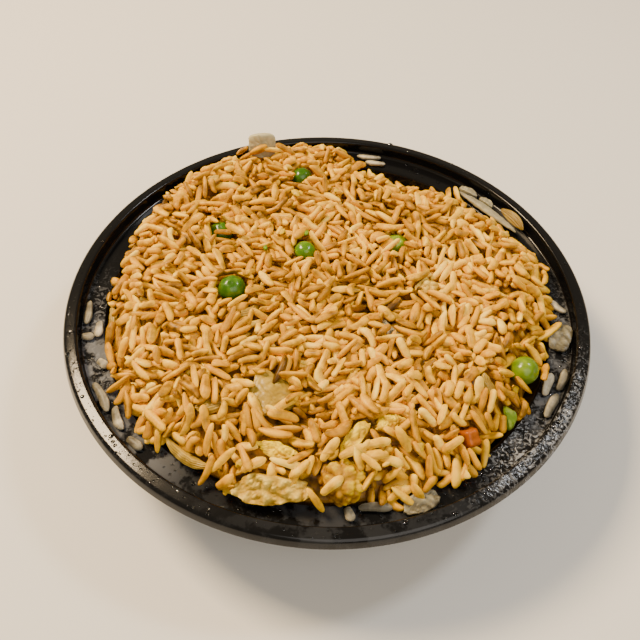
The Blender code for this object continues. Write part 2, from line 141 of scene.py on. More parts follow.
# What counts against a place, in millimetres: a slope of 1, a turn of one radian, a topping covered.
SLOPE_COST = 0.35
TURN_COST = 0.6
COVER_COST = 20

# The top of a grain above its middle line, as a share of its width, and the room kept over it.
GRAIN_RISE = 0.62
TOP_ROOM = 1.0

# Kinds of grain in the heap: name, look, and the share of grains up to and with this kind.
GRAIN_KINDS = (
    ("browned", "rice_browned_and_core_shade", 0.14),
    ("amber", "rice_amber", 0.43),
    ("golden", "rice", 0.74),
    ("light", "rice_light", 1.0),
)

# Loose grains on the ledge: node, radius, azimuth, heading off the ledge's run, length, bow, tone.
LEDGE_GRAINS = (
    ("grain_left_1", 84.2, 186, 0, 10.5, 0.3, 0.35),
    ("grain_left_2", 83.8, 193.4, 78, 4.4, 0.1, 0.45),
    ("grain_left_3", 80.0, 191.6, -7, 6.8, 0.2, 0.7),
    ("grain_left_4", 80.0, 202.5, 30, 4.8, 0.2, 0.65),
    ("grain_left_5", 84.2, 211.3, 1, 12.6, 0.8, 0.4),
    ("grain_left_6", 82.4, 218.4, -14, 9.4, -0.5, 0.5),
    ("grain_left_7", 83.5, 226, 8, 6.4, 0.2, 0.2),
    ("grain_front_1", 80.4, 280.6, -9, 10.0, 0.5, 0.3),
    ("grain_front_2", 81.5, 275.2, -74, 4.6, 0.1, 0.5),
    ("grain_right_1", 80.4, 334.6, 0, 9.8, 0.3, 0.9),
    ("grain_right_2", 84.0, 329.4, -1, 10.6, 0.4, 0.5),
    ("grain_right_3", 84.0, 337.2, -5, 9.6, -0.4, 0.35),
    ("grain_right_4", 82.6, 359.5, 40, 7.0, 0.9, 0.8),
    ("grain_back_1", 83.7, 78.4, 6, 10.4, 0.4, 0.5),
    ("grain_back_2", 80.4, 76.0, 6, 8.6, 0.3, 0.8),
)

# Grains at the heap's foot: radius, azimuth, heading off the rim's run, height of the middle,
# slope, length, bow.
FOOT_GRAINS = (
    (77.7, 350.0, 139, 35.6, 0.0, 12.5, 0.4),
    (78.4, 286.4, 16, 35.8, 0.0, 9.4, 0.5),
    (77.2, 226.3, 65, 35.6, 0.2, 5.4, 0.1),
    (78.3, 229.5, 40, 35.0, 0.0, 5.0, 0.2),
    (79.6, 250.5, 12, 34.8, 0.0, 6.4, 0.3),
    (84.6, 88.6, -4, 35.2, 0.0, 8.2, 0.3),
    (78.2, 300.0, -68, 36.2, 0.2, 9.0, 0.3),
)

# Whole peas: node, x, y, how far the middle stands above the heap, size and slot.
PEAS = (
    ("pea_1", -32.6, -6.4, 1.6, 1.03, "pea_dark"),
    ("pea_2", -8.5, 12.4, 0.4, 0.84, "pea_green"),
    ("pea_3", -11.1, 57.0, -0.4, 0.9, "pea_dark"),
    ("pea_4", 62.4, -32.8, 2.0, 1.04, "pea_light"),
    ("pea_5", -40.0, 25.0, -2.2, 0.95, "pea_dark"),
    ("pea_6", 24.6, 19.0, -1.8, 0.95, "pea_light"),
)

# The share of a dropped and of a pushed grain that may lie over a topping, and where the first differs.
COVER = 0.08
PUSHED_COVER = 0.3
MAY_COVER = {
    "pea_1": 0.03,
    "pea_2": 0.04,
    "pea_4": 0.04,
    "pea_3": 0.3,
    "pea_5": 0.45,
    "pea_6": 0.4,
    "egg_clump": 0.22,
    "egg_pale_flake": 0.45,
    "egg_flake": 0.2,
    "egg_fold": 0.2,
    "onion_round": 0.5,
    "onion_strip_1": 0.4,
    "onion_strip_2": 0.4,
    "onion_strip_3": 0.4,
    "onion_strip_4": 0.4,
    "onion_crescent": 0.3,
    "onion_edge": 0.4,
    "onion_block": 0.2,
    "carrot_wedge": 0.25,
    "pea_skin": 0.2,
}

# Grains that lie over the egg and the round of onion: x, y, lift, heading in degrees, length, bow.
OVER_GRAINS = (
    (-15.2, -73.8, 4.2, 88, 8.6, 0.2),
    (-8.6, -73.4, 4.0, 72, 7.6, 0.3),
    (-20.5, -70.6, 3.6, 20, 8.2, 0.4),
    (-12.2, -53.2, 2.8, 38, 9.4, 0.3),
    (-21.0, -54.0, 2.8, 118, 8.8, 0.3),
    (2.0, -76.4, 6.0, 35, 8.0, 0.2),
    (9.4, -69.0, 5.0, 105, 7.6, 0.2),
    (7.6, -67.6, 5.0, 24, 8.4, 0.3),
    (1.2, -67.0, 4.4, 52, 8.4, 0.3),
    (13.5, -68.0, 4.2, 8, 9.6, 0.5),
    (14.5, -65.0, 4.6, 14, 9.0, 0.3),
    (19.0, -68.6, 3.4, -12, 7.6, 0.2),
)

# How much brighter or darker some pieces are than their kind.
TONE_SHIFT = {
    "egg_flake": 0.34,
    "egg_strip": 0.2,
    "egg_clump": -0.02,
    "egg_fold": 0.12,
    "onion_block": 0.35,
    "onion_back_2": -0.3,
    "onion_right": -0.35,
    "onion_front": -0.3,
}

# Small bits in the rice: x, y, lift, heading, length, width, thickness.
EGG_BITS = (
    (-56.6, 1.5, 2.4, 0.4, 3.2, 2.4, 1.6),
    (-16.8, 20.7, 2.6, 1.1, 3.6, 2.2, 1.4),
    (-34.0, 44.0, 2.6, 0.2, 4.0, 2.6, 1.8),
    (-13.0, 43.0, 2.6, 2.2, 5.2, 3.4, 2.2),
    (2.5, 46.0, 2.5, 0.8, 3.0, 2.2, 1.6),
    (27.0, -63.0, 2.4, 1.4, 4.6, 3.0, 2.0),
    (-24.0, -68.5, 2.4, 0.6, 4.2, 2.6, 1.6),
    (58.0, -40.5, 2.4, 0.3, 3.6, 2.6, 1.8),
)
GREEN_BITS = (
    (-22.4, 12.3, 2.6, 1.5, 2.8, 1.8, 1.4),
    (-8.0, 19.6, 2.8, 1.2, 3.0, 2.2, 1.6),
    (-10.6, 17.6, 2.8, 2.4, 2.2, 1.8, 1.2),
    (-13.9, -41.1, 2.4, 0.5, 3.2, 1.2, 0.9),
    (-36.8, 48.4, 2.6, 0.9, 2.6, 1.8, 1.2),
)
BROWN_BITS = (
    (30.6, -6.1, 2.4, 0.4, 2.4, 1.6, 1.2),
    (-61.0, 26.0, 2.4, 1.9, 2.8, 1.4, 1.0),
    (12.0, 38.0, 2.4, 2.6, 2.2, 1.2, 1.0),
    (-22.0, -27.0, 2.4, 0.3, 2.2, 1.2, 0.9),
)

# The dried film, and the wet crinkles with their painted glints: azimuth of the middle, spread, inner and
# outer radius, strength.
FILM = (
    (201, 13, 77.5, 86.0, 1.0),
    (228, 10, 77.5, 86.0, 0.8),
    (272, 22, 77.5, 86.0, 0.3),
    (330, 14, 77.5, 86.0, 0.75),
    (352, 8, 77.5, 86.0, 0.5),
    (275, 24, 87.0, 92.0, 0.14),
)
WET_AND_GLINTS = (
    (316, 9, 77.5, 86.0, 1.0),
    (322, 16, 86.5, 92.0, 0.8),
    (186, 10, 77.5, 86.0, 0.3),
    (205, 8, 77.5, 86.0, 0.3),
    (352, 14, 77.5, 86.0, 0.3),
    (216, 20, 87.0, 92.0, 0.06),
)

# Where the droplets gather, in degrees, and their spread.
DROPLET_AZIMUTHS = (190, 212, 228, 318, 300, 345, 258, 60)
DROPLET_SPREAD = 14

# The lamps: name, place in metres, size, share of the key's power, and colour.
LAMPS = (
    ("key", (-0.53, 0.26, 0.8), 0.26, 1.0, "#FFE0B2"),
    ("right_box", (0.5, 0.21, 0.78), 0.12, 0.16, "#FFFFFF"),
    ("fill", (0.3, -0.7, 0.9), 0.9, 0.35, "#FFF8F0"),
)
SKY_COLOUR = "#F2E0C0"
FLOOR_REACH = 3.0

# The camera: where it looks, how far off, how high and how much it leans, matched to the rim's ellipse.
LOOK_AT = (-2.52, -12.99, HEIGHT)
CAMERA_DISTANCE = 243.5
CAMERA_ELEVATION = 50.63
CAMERA_ROLL = 1.41
CAMERA_LENS = 40.0


def linear(hex_colour):
    """The linear RGBA of an sRGB hex colour."""
    parts = [int(hex_colour[i : i + 2], 16) / 255 for i in (1, 3, 5)]
    return [c / 12.92 if c <= 0.04045 else ((c + 0.055) / 1.055) ** 2.4 for c in parts] + [1.0]


# Settings


def length_setting(name, description, millimetres):
    """A length in the panel, given here in millimetres."""
    return FloatProperty(name=name, description=description, default=millimetres * MM, unit="LENGTH")


def colour_setting(name, description, hex_colour):
    """A colour in the panel, given here as an sRGB hex."""
    start = linear(hex_colour)[:3]
    return FloatVectorProperty(name=name, description=description, default=start, size=3, subtype="COLOR")


class FriedRiceSizes(bpy.types.PropertyGroup):
    """Sizes and counts of the food."""

    grain_length: length_setting("Grain length", "Length of a cooked grain", 9.8)
    grain_width: length_setting("Grain width", "Width of a cooked grain", 2.9)
    pea_diameter: length_setting("Pea", "Diameter of a cooked pea", 9.2)
    grain_count: IntProperty(name="Grains", description="Most grains laid on the heap", default=6000, min=100)
    droplet_count: IntProperty(name="Droplets", description="Droplets on ledge and rim", default=420, min=1)


class FriedRiceColours(bpy.types.PropertyGroup):
    """Main colours of the bowl and the food."""

    plastic: colour_setting("Bowl", "Black plastic", "#0A0A0B")
    golden: colour_setting("Golden rice", "Most of the grains", "#DBA30C")
    amber: colour_setting("Amber rice", "The darker half of the grains", "#CD940C")
    light: colour_setting("Light rice", "The palest grains in the heap", "#E6B21E")
    browned: colour_setting("Browned rice", "Grains that took most soy sauce", "#B68008")
    plain: colour_setting("Plain rice", "Loose grains on the ledge", "#857E6A")
    yolk: colour_setting("Egg", "Yellow egg", "#A87A00")
    white: colour_setting("Egg white", "Pale egg", "#B58F26")
    onion: colour_setting("Onion", "Fried onion", "#A08226")
    carrot: colour_setting("Carrot", "Cooked carrot", "#984E04")


class FriedRiceStage(bpy.types.PropertyGroup):
    """Floor and light."""

    floor: colour_setting("Floor", "Colour of the floor", "#D9D6D0")
    key_power: FloatProperty(
        name="Key light", description="Power of the key light", default=21.0, unit="POWER"
    )
    sky: FloatProperty(name="Sky", description="Strength of the light from all round", default=0.42, min=0)


def sizes():
    """The sizes set in the panel."""
    return bpy.context.scene.fried_rice_sizes


def colours():
    """The colours set in the panel."""
    return bpy.context.scene.fried_rice_colours


# Materials


def add_node(tree, kind, inputs=None, stops=None, **settings):
    """One node with its settings, its links or values by input, and a ramp's stops as (place, colour)."""
    made = tree.nodes.new(kind)
    for key, value in settings.items():
        setattr(made, key, value)
    if stops:
        for _ in range(len(stops) - 2):
            made.color_ramp.elements.new(0.5)
        for element, (place, colour) in zip(made.color_ramp.elements, stops):
            element.position = place
            element.color = colour
    for key, value in (inputs or {}).items():
        socket = made.inputs[key]
        if isinstance(value, bpy.types.NodeSocket):
            tree.links.new(value, socket)
        else:
            socket.default_value = value
    return made


def new_material(name, **sockets):
    """A material whose Principled shader has these values; returns the material, tree and shader."""
    made = bpy.data.materials.new(name)
    made.use_nodes = True
    tree = made.node_tree
    shader = tree.nodes["Principled BSDF"]
    for key, value in sockets.items():
        shader.inputs[key.replace("_", " ")].default_value = value
    return made, tree, shader


def noise(tree, place, size, detail=2.0, **more):
    """A noise from 0 to 1 on Object coordinates, in patches this many millimetres wide."""
    values = {"Vector": place, "Scale": 1 / (size * MM), "Detail": detail, **more}
    return add_node(tree, "ShaderNodeTexNoise", values).outputs["Fac"]


def ramped(tree, value, stops):
    """The colour that a ramp of these stops has at a value."""
    return add_node(tree, "ShaderNodeValToRGB", {"Fac": value}, stops).outputs["Color"]


def product(tree, first, second):
    """One value times another."""
    return add_node(tree, "ShaderNodeMath", {0: first, 1: second}, operation="MULTIPLY").outputs[0]


def mixed(tree, share, first, second):
    """The first colour, and this share of the second in its place."""
    values = {"Factor": share, "A": first, "B": second}
    return add_node(tree, "ShaderNodeMix", values, data_type="RGBA").outputs["Result"]


def bumped(tree, height, strength, distance, normal=None):
    """The normal of a relief this many millimetres high, laid over another normal if one is given."""
    values = {"Height": height, "Strength": strength, "Distance": distance * MM}
    if normal is not None:
        values["Normal"] = normal
    return add_node(tree, "ShaderNodeBump", values).outputs["Normal"]


def flesh(name, stops, patch, grit, depth, roughness, glow, spread=0.5, coat=0.2, clear=0.0):
    """Moist cooked food: a ramp of colours over soft patches and a tone per piece, under a wet coat.

    patch is the width of the colour patches and grit that of the relief, both in millimetres;
    depth is the relief's height in millimetres, glow the share of light that wanders inside,
    and clear the share that passes through.
    """
    made, tree, shader = new_material(
        name,
        Roughness=roughness,
        IOR=1.4,
        Subsurface_Weight=glow,
        Subsurface_Radius=(1.0, 0.85, 0.5),
        Subsurface_Scale=0.0008,
        Coat_Weight=coat,
        Coat_Roughness=0.2,
        Specular_IOR_Level=0.26,
        Transmission_Weight=clear,
    )
    place = add_node(tree, "ShaderNodeTexCoord").outputs["Object"]
    tone = add_node(tree, "ShaderNodeAttribute", attribute_name="tone").outputs["Fac"]
    patches = noise(tree, place, patch, 3.0)
    centred = add_node(tree, "ShaderNodeMath", {0: patches, 1: 0.5}, operation="SUBTRACT").outputs[0]
    shade = add_node(tree, "ShaderNodeMath", {0: centred, 1: spread, 2: tone}, operation="MULTIPLY_ADD")
    colour = ramped(tree, shade.outputs[0], stops)
    relief = noise(tree, place, grit, 4.0)
    tree.links.new(colour, shader.inputs["Base Color"])
    tree.links.new(bumped(tree, relief, 0.6, depth), shader.inputs["Normal"])
    return made


def three_stops(dark, middle, bright):
    """A ramp's stops from a hex, a linear colour of three parts and a hex."""
    return [(0.0, linear(dark)), (0.5, [*middle, 1.0]), (1.0, linear(bright))]


def steamed_grain(name, dark, middle, bright):
    """Cooked long grain rice, stained by soy sauce: moist, a little see-through, mottled."""
    stops = three_stops(dark, middle, bright)
    return flesh(
        name, stops, patch=3.0, grit=0.7, depth=0.16, roughness=0.42, glow=0.3, spread=1.4, coat=0.04
    )


def pea_finish(name, dark, middle, bright):
    """Cooked pea skin: taut, glossy and faintly mottled."""
    stops = [(0.0, linear(dark)), (0.5, linear(middle)), (1.0, linear(bright))]
    return flesh(
        name, stops, patch=4.0, grit=1.6, depth=0.08, roughness=0.3, glow=0.12, spread=0.7, coat=0.5
    )


def scrambled_egg(name, dark, middle, bright):
    """Set egg: soft and folded, with painted shade in its creases and a wet shine."""
    stops = three_stops(dark, middle, bright)
    return flesh(
        name, stops, patch=2.6, grit=0.8, depth=0.3, roughness=0.45, glow=0.1, spread=0.9, coat=0.05
    )


def softened_onion(name, dark, middle, bright):
    """Fried onion: wet, translucent flesh with fine ribs."""
    stops = three_stops(dark, middle, bright)
    wet = {"roughness": 0.4, "coat": 0.1, "clear": 0.12}
    return flesh(name, stops, patch=4.0, grit=1.0, depth=0.12, glow=0.3, spread=0.7, **wet)


def cooked_carrot(name):
    """Cooked carrot: deep orange flesh with pale fibres."""
    stops = three_stops("#642C02", colours().carrot, "#B86C1A")
    return flesh(name, stops, patch=2.0, grit=0.7, depth=0.15, roughness=0.35, glow=0.2)


def black_plastic(name):
    """Thermoformed black polypropylene: glossy, with a dried grey film and wet crinkles in places; painted
    light grey glints sit on the crinkles.
    """
    made, tree, shader = new_material(name, IOR=1.49, Specular_IOR_Level=0.26)
    place = add_node(tree, "ShaderNodeTexCoord").outputs["Object"]
    film = add_node(tree, "ShaderNodeAttribute", attribute_name="film").outputs["Fac"]
    wet = add_node(tree, "ShaderNodeAttribute", attribute_name="wet").outputs["Fac"]
    clouds = noise(tree, place, 7, 7.0, Roughness=0.62)
    patches = ramped(tree, clouds, [(0.46, linear("#000000")), (0.54, linear("#FFFFFF"))])
    filmed = product(tree, patches, film)
    colour = mixed(tree, filmed, [*colours().plastic, 1.0], linear("#54565A"))
    crinkle = noise(tree, place, 1.9, 2.0, Distortion=1.6)
    # Painted glints: where the crinkles rise on the wet parts, the colour is mixed towards light grey in
    # place of the lamps' reflections.
    painted_glints = ramped(tree, crinkle, [(0.52, linear("#000000")), (0.62, linear("#FFFFFF"))])
    colour_with_painted_glints = mixed(tree, product(tree, painted_glints, wet), colour, linear("#8A8C90"))
    rough = add_node(tree, "ShaderNodeMapRange", {"Value": filmed, "To Min": 0.16, "To Max": 0.46})
    slow = noise(tree, place, 16, 2.0)
    waviness = bumped(tree, slow, 0.4, 0.2)
    ripples = product(tree, crinkle, wet)
    wet_relief = bumped(tree, ripples, 1.0, 0.5, waviness)
    tree.links.new(colour_with_painted_glints, shader.inputs["Base Color"])
    tree.links.new(rough.outputs["Result"], shader.inputs["Roughness"])
    tree.links.new(wet_relief, shader.inputs["Normal"])
    return made


def clear_water(name):
    """Condensed water: a clear bead that shows the plastic below and the lights above."""
    made, tree, shader = new_material(name, Roughness=0.02, IOR=1.33, Transmission_Weight=1.0)
    place = add_node(tree, "ShaderNodeTexCoord").outputs["Object"]
    cloud = noise(tree, place, 6)
    colour = ramped(tree, cloud, [(0.3, linear("#E9EEF0")), (0.7, linear("#FFFFFF"))])
    tree.links.new(colour, shader.inputs["Base Color"])
    return made


def floor_card(name):
    """Plain matt card."""
    made, tree, shader = new_material(name, Roughness=0.85)
    place = add_node(tree, "ShaderNodeTexCoord").outputs["Object"]
    fibre = noise(tree, place, 2.0, 3.0)
    shader.inputs["Base Color"].default_value = [*bpy.context.scene.fried_rice_stage.floor, 1.0]
    tree.links.new(bumped(tree, fibre, 0.1, 0.1), shader.inputs["Normal"])
    return made


FINISHES = {
    "black_plastic": lambda: black_plastic("black_polypropylene"),
    "rice": lambda: steamed_grain("soy_stained_rice", "#8E6408", colours().golden, "#F8C636"),
    "rice_amber": lambda: steamed_grain("amber_rice", "#7C5406", colours().amber, "#EBB22C"),
    "rice_light": lambda: steamed_grain("lightly_stained_rice", "#A67A10", colours().light, "#FCD75C"),
    # Browned grains and bits, and the core, whose dark colour is painted shade between the grains.
    "rice_browned_and_core_shade": lambda: steamed_grain("browned_rice", "#523606", colours().browned, "#D69E22"),
    "rice_pale": lambda: steamed_grain("plain_boiled_rice", "#544E40", colours().plain, "#C8BCA0"),
    "pea_green": lambda: pea_finish("pea_bright", "#325802", "#4C7604", "#869E1C"),
    "pea_dark": lambda: pea_finish("pea_deep", "#1C4202", "#315A02", "#5E8612"),
    "pea_light": lambda: pea_finish("pea_pale", "#456404", "#627F04", "#9CB01E"),
    "pea_skin": lambda: pea_finish("pea_skin_torn", "#4F6A12", "#78941F", "#A9B84C"),
    "egg_yellow": lambda: scrambled_egg("egg_golden", "#5C3400", colours().yolk, "#F0D000"),
    "egg_pale": lambda: scrambled_egg("egg_pale_curd", "#7E5A0E", colours().white, "#EACF66"),
    "carrot": lambda: cooked_carrot("cooked_carrot"),
    "onion": lambda: softened_onion("onion_golden", "#6E5212", colours().onion, "#D2B24E"),
    "onion_clear": lambda: softened_onion("onion_glassy", "#4A4432", (0.27, 0.24, 0.15), "#BEB58E"),
    "water": lambda: clear_water("clear_water"),
    "floor": lambda: floor_card("floor_card"),
}


def finish(slot):
    """The material of a slot, made when it is first asked for."""
    made = bpy.data.materials.get(slot + "_finish")
    if made is None:
        made = FINISHES[slot]()
        made.name = slot + "_finish"
    return made


# Meshes


def put(name, shape, slot, nodes=(), look=None, **values):
    """Makes a piece from whole arrays in millimetres, rides it on the bowl and lets it stand for nodes.

    shape is (points, quads, triangles); values holds one number for each point by attribute name.
    """
    points, quads, triangles = shape
    corners = np.concatenate([quads.ravel(), triangles.ravel()]).astype(np.int32)
    counts = np.concatenate([np.full(len(quads), 4), np.full(len(triangles), 3)])
    starts = np.concatenate([[0], np.cumsum(counts)[:-1]]).astype(np.int32)
    mesh = bpy.data.meshes.new(name)
    mesh.vertices.add(len(points))
    mesh.vertices.foreach_set("co", (np.asarray(points) * MM).astype(np.float32).ravel())
    mesh.loops.add(len(corners))
    mesh.loops.foreach_set("vertex_index", corners)
    mesh.polygons.add(len(counts))
    mesh.polygons.foreach_set("loop_start", starts)
    mesh.polygons.foreach_set("use_smooth", np.ones(len(counts), bool))
    mesh.update(calc_edges=True)
    mesh.validate()
    for key, numbers in values.items():
        attribute = mesh.attributes.new(key, "FLOAT", "POINT")
        attribute.data.foreach_set("value", np.asarray(numbers, np.float32))
    mesh.materials.append(finish(look or slot))
    piece = bpy.data.objects.new(name, mesh)
    bpy.context.scene.collection.objects.link(piece)
    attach(piece, "root")
    if nodes:
        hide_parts(*nodes)
    return piece


def ball_faces(rings, sides):
    """The faces of a ball grid: a top pole, rings of points from top to bottom, and a bottom pole."""
    ring = np.arange(rings - 1)[:, None] * sides + 1
    side = np.arange(sides)[None, :]
    after = (side + 1) % sides
    corners = [ring + side, ring + sides + side, ring + sides + after, ring + after]
    quads = np.stack(corners, axis=-1).reshape(-1, 4)
    last = 1 + rings * sides
    low = last - sides
    cap = np.stack([np.zeros_like(side), 1 + side, 1 + after], axis=-1).reshape(-1, 3)
    foot = np.stack([np.full_like(side, last), low + after, low + side], axis=-1).reshape(-1, 3)
    return quads, np.concatenate([cap, foot])


def ball_points(rings, sides):
    """Unit directions from pole to pole: latitude by ring and longitude by side."""
    latitude = np.pi * np.arange(1, rings + 1) / (rings + 1)
    longitude = 2 * np.pi * np.arange(sides) / sides
    lat, lon = np.meshgrid(latitude, longitude, indexing="ij")
    body = np.stack([np.sin(lat) * np.cos(lon), np.sin(lat) * np.sin(lon), np.cos(lat)], axis=-1)
    return np.concatenate([[[0, 0, 1.0]], body.reshape(-1, 3), [[0, 0, -1.0]]])


def repeated(count, each, quads, triangles):
    """The faces of many copies of one grid whose points follow each other."""
    shift = (np.arange(count) * each)[:, None, None]
    return (quads[None] + shift).reshape(-1, 4), (triangles[None] + shift).reshape(-1, 3)


def waves(points, seed, length, count=9):
    """A smooth seeded noise about -1 to 1: the sum of plane waves about this many units long."""
    draw = np.random.default_rng(seed)
    turns = draw.normal(0, 1, (3, count))
    turns *= 2 * np.pi / length / np.linalg.norm(turns, axis=0) * draw.uniform(0.7, 1.5, count)
    return np.sin(points @ turns + draw.uniform(0, 2 * np.pi, count)).sum(axis=1) / math.sqrt(count)


# Places


def heap_foot(azimuth):
    """The foot's radius, height and shoulder width at azimuths in radians, eased between headings."""
    stations = np.array(HEAP_FOOT, float)
    first = stations[0] + [360, 0, 0, 0]
    last = stations[-1] - [360, 0, 0, 0]
    stations = np.vstack([last, stations, first])
    degrees = np.degrees(azimuth) % 360
    index = np.searchsorted(stations[:, 0], degrees, side="right") - 1
    near, far = stations[index], stations[index + 1]
    part = (degrees - near[..., 0]) / (far[..., 0] - near[..., 0])
    ease = (1 - np.cos(np.pi * part)) / 2
    values = near[..., 1:] + (far[..., 1:] - near[..., 1:]) * ease[..., None]
    return values[..., 0], values[..., 1], values[..., 2]


def heap_height(x, y):
    """The heap's smooth height: a low plateau that rounds down to the foot and drops beyond it."""
    x, y = np.asarray(x, float), np.asarray(y, float)
    radius, foot, shoulder = heap_foot(np.arctan2(y, x))
    inward = (radius - np.hypot(x, y)) / shoulder
    top = HEAP_TOP - 0.035 * np.maximum(y, 0) + 1.2 * np.sin(x / 17 + 1) * np.cos(y / 21)
    rise = np.sin(np.pi / 2 * np.clip(inward, 0, 1)) ** 0.9
    inside = foot + (top - foot) * rise
    return np.where(inward < 0, foot + inward * shoulder * 2.5, inside)


def turned_about(points, angle, axis):
    """The points turned about an axis through their origin."""
    return points @ np.array(Matrix.Rotation(angle, 3, axis)).T


def on_heap(points, x, y, heading, lift=0.0, pitch=0.0, roll=0.0):
    """Lays a piece on the heap's surface at x, y, turned to its heading, as the CAD node is laid."""
    step = 2.0
    slope_x = (heap_height(x + step, y) - heap_height(x - step, y)) / (2 * step)
    slope_y = (heap_height(x, y + step) - heap_height(x, y - step)) / (2 * step)
    normal = np.array([-slope_x, -slope_y, 1.0])
    normal /= np.linalg.norm(normal)
    along = np.array([math.cos(heading), math.sin(heading), 0.0])
    along -= normal * (along @ normal)
    along /= np.linalg.norm(along)
    turn = np.stack([along, np.cross(normal, along), normal])
    leant = turned_about(turned_about(points, roll, "X"), pitch, "Y")
    return leant @ turn + np.array([x, y, float(heap_height(x, y))]) + normal * lift


def on_ledge(points, radius, azimuth, heading, height, roll=0.0):
    """Lays a piece on the bowl's ledge, its heading measured in degrees from the ledge's own run."""
    angle = math.radians(azimuth)
    leant = turned_about(points, math.radians(roll), "X")
    turned = turned_about(leant, angle + math.pi / 2 + math.radians(heading), "Z")
    return turned + [radius * math.cos(angle), radius * math.sin(angle), height]


# Shapes, each as points, quads, triangles and a tone for each point


def flake(
    length, width, thickness, bend, ripple, swing, seed, square=2.0, ragged=0.05, rough=0.1, ribs=0.0
):
    """A thin piece with rounded edges: a flat ball whose outline wavers, bent along its length.

    The outline is a superellipse of power square. The middle height is bend (1/2 - u^2) +
    ripple sin(swing u + 2 v), and the two faces stand off it by half the thickness times the
    ball's height to the power 0.4. rough is the height of lumps, |wave|, as a share of the
    thickness, and ribs that of rings round the piece, in millimetres.
    """
    rings, sides = 84, 110
    ball = ball_points(rings, sides)
    out = np.hypot(ball[:, 0], ball[:, 1])
    around = np.arctan2(ball[:, 1], ball[:, 0])
    corner = (np.abs(np.cos(around)) ** square + np.abs(np.sin(around)) ** square) ** (-1 / square)
    edge = 1 + ragged * (np.sin(3 * around + seed) + 0.8 * np.sin(5 * around + 2 * seed))
    edge += ragged * (0.5 * np.sin(9 * around + seed) + 0.4 * np.sin(14 * around))
    edge = 1 + (edge - 1) * out**2
    corner = 1 + (corner - 1) * out**2
    reach = np.sin(out * np.pi / 2) * corner * edge
    u, v = reach * np.cos(around), reach * np.sin(around)
    face = np.sign(ball[:, 2]) * np.abs(ball[:, 2]) ** 0.4 * thickness / 2
    middle = bend * (0.5 - u * u) + ripple * np.sin(swing * u + 2 * v)
    points = np.stack([length / 2 * u, width / 2 * v * (1 - 0.2 * u * u), middle + face], axis=-1)
    relief = np.abs(waves(points, seed + 5, 4.2)) + 0.4 * np.abs(waves(points, seed + 6, 2.0)) - 0.9
    rings_on = np.sin(2 * np.pi * 5.5 * np.hypot(u - 0.1, v - 0.3))
    points[:, 2] += rough * thickness * relief + ribs * rings_on * out
    # The tone is painted shade: lighter on the raised lumps and darker in the hollows between them; it also
    # rises towards +v and follows the rings.
    tone = 0.58 + 0.22 * relief + 0.12 * v + ribs * rings_on
    return points, *ball_faces(rings, sides), tone


def crescent(radius, spread, width, thickness, seed):
    """A curved strip: a flat ball carried round an arc, thinner to its ends, dished and ribbed."""
    rings, sides = 30, 90
    ball = ball_points(rings, sides)
    u, v = ball[:, 0], ball[:, 1]
    angle = math.radians(spread) / 2 * u
    out = radius + width / 2 * v * (1 - 0.3 * u * u)
    face = np.sign(ball[:, 2]) * np.abs(ball[:, 2]) ** 0.5 * thickness / 2
    ribs = 0.05 * thickness * np.sin(16 * v + seed)
    rise = 0.25 * thickness * (1 - v * v) + face + ribs
    points = np.stack([out * np.sin(angle), radius - out * np.cos(angle), rise], axis=-1)
    points[:, 2] += 0.1 * thickness * waves(points, seed, 3.5)
    return points, *ball_faces(rings, sides), 0.45 + 0.3 * v * v + 2 * ribs / thickness


def curd(length, width, height, seed, folds, lump):
    """A lump of scrambled egg: a ball grown by |wave|, so that round lumps meet in sharp creases."""
    rings, sides = 100, 150
    ball = ball_points(rings, sides)
    large = np.clip(np.abs(waves(ball, seed, lump)), 0, 1.3)
    small = np.clip(np.abs(waves(ball, seed + 2, lump * 0.45)), 0, 1.3)
    reach = 0.82 + folds * large + 0.4 * folds * small + 0.06 * waves(ball, seed + 1, 2.4)
    points = ball * reach[:, None] * [length / 2, width / 2, height / 2]
    # The tone is painted shade: darker in the creases where the lumps meet; it also grows towards +x and +y.
    tone = 0.24 + 0.3 * large + 0.12 * small + 0.24 * ball[:, 0] + 0.1 * ball[:, 1]
    return points, *ball_faces(rings, sides), tone


def pea(diameter, seed, rings=30, sides=48):
    """A pea: a ball a little flattened, with one shallow dimple and faint wrinkles."""
    ball = ball_points(rings, sides)
    dimple = np.exp(-((ball[:, 0] + 0.1) ** 2 + (ball[:, 1] + 0.2) ** 2) / 0.04) * (ball[:, 2] > 0)
    wrinkles = waves(ball, seed, 0.7)
    reach = 1 - 0.05 * dimple + 0.012 * wrinkles
    points = ball * reach[:, None] * diameter / 2 * [1.0, 0.96, 0.93]
    # The tone is painted shade: darker in the dimple and in the low parts of the wrinkles.
    return points, *ball_faces(rings, sides), 0.5 + 0.1 * wrinkles - 0.2 * dimple


def carrot_block(length, width, height, narrow, rings=28, sides=48):
    """A cut cube of carrot: a ball pushed out to a rounded box, narrower at its top."""
    ball = ball_points(rings, sides)
    power = 6.0
    cube = ball / ((np.abs(ball) ** power).sum(axis=1) ** (1 / power))[:, None]
    points = cube * [length / 2, width / 2, height / 2]
    points[:, 0] *= 1 - (1 - narrow) * (cube[:, 2] + 1) / 2
    points += waves(points, 4, 4.0)[:, None] * 0.08
    return points, *ball_faces(rings, sides), np.full(len(points), 0.5)


# Where along a grain its rings lie, from -1 to 1, and how many points each has.
GRAIN_STATIONS = np.array([-0.965, -0.8, -0.45, 0.0, 0.45, 0.8, 0.965])
GRAIN_SIDES = 6


def grain_thickness(part):
    """A grain's half width from -1 to 1 along it: full in the middle and tapered to rounded ends."""
    return np.sqrt(np.maximum(1 - np.abs(part) ** 4, 0))


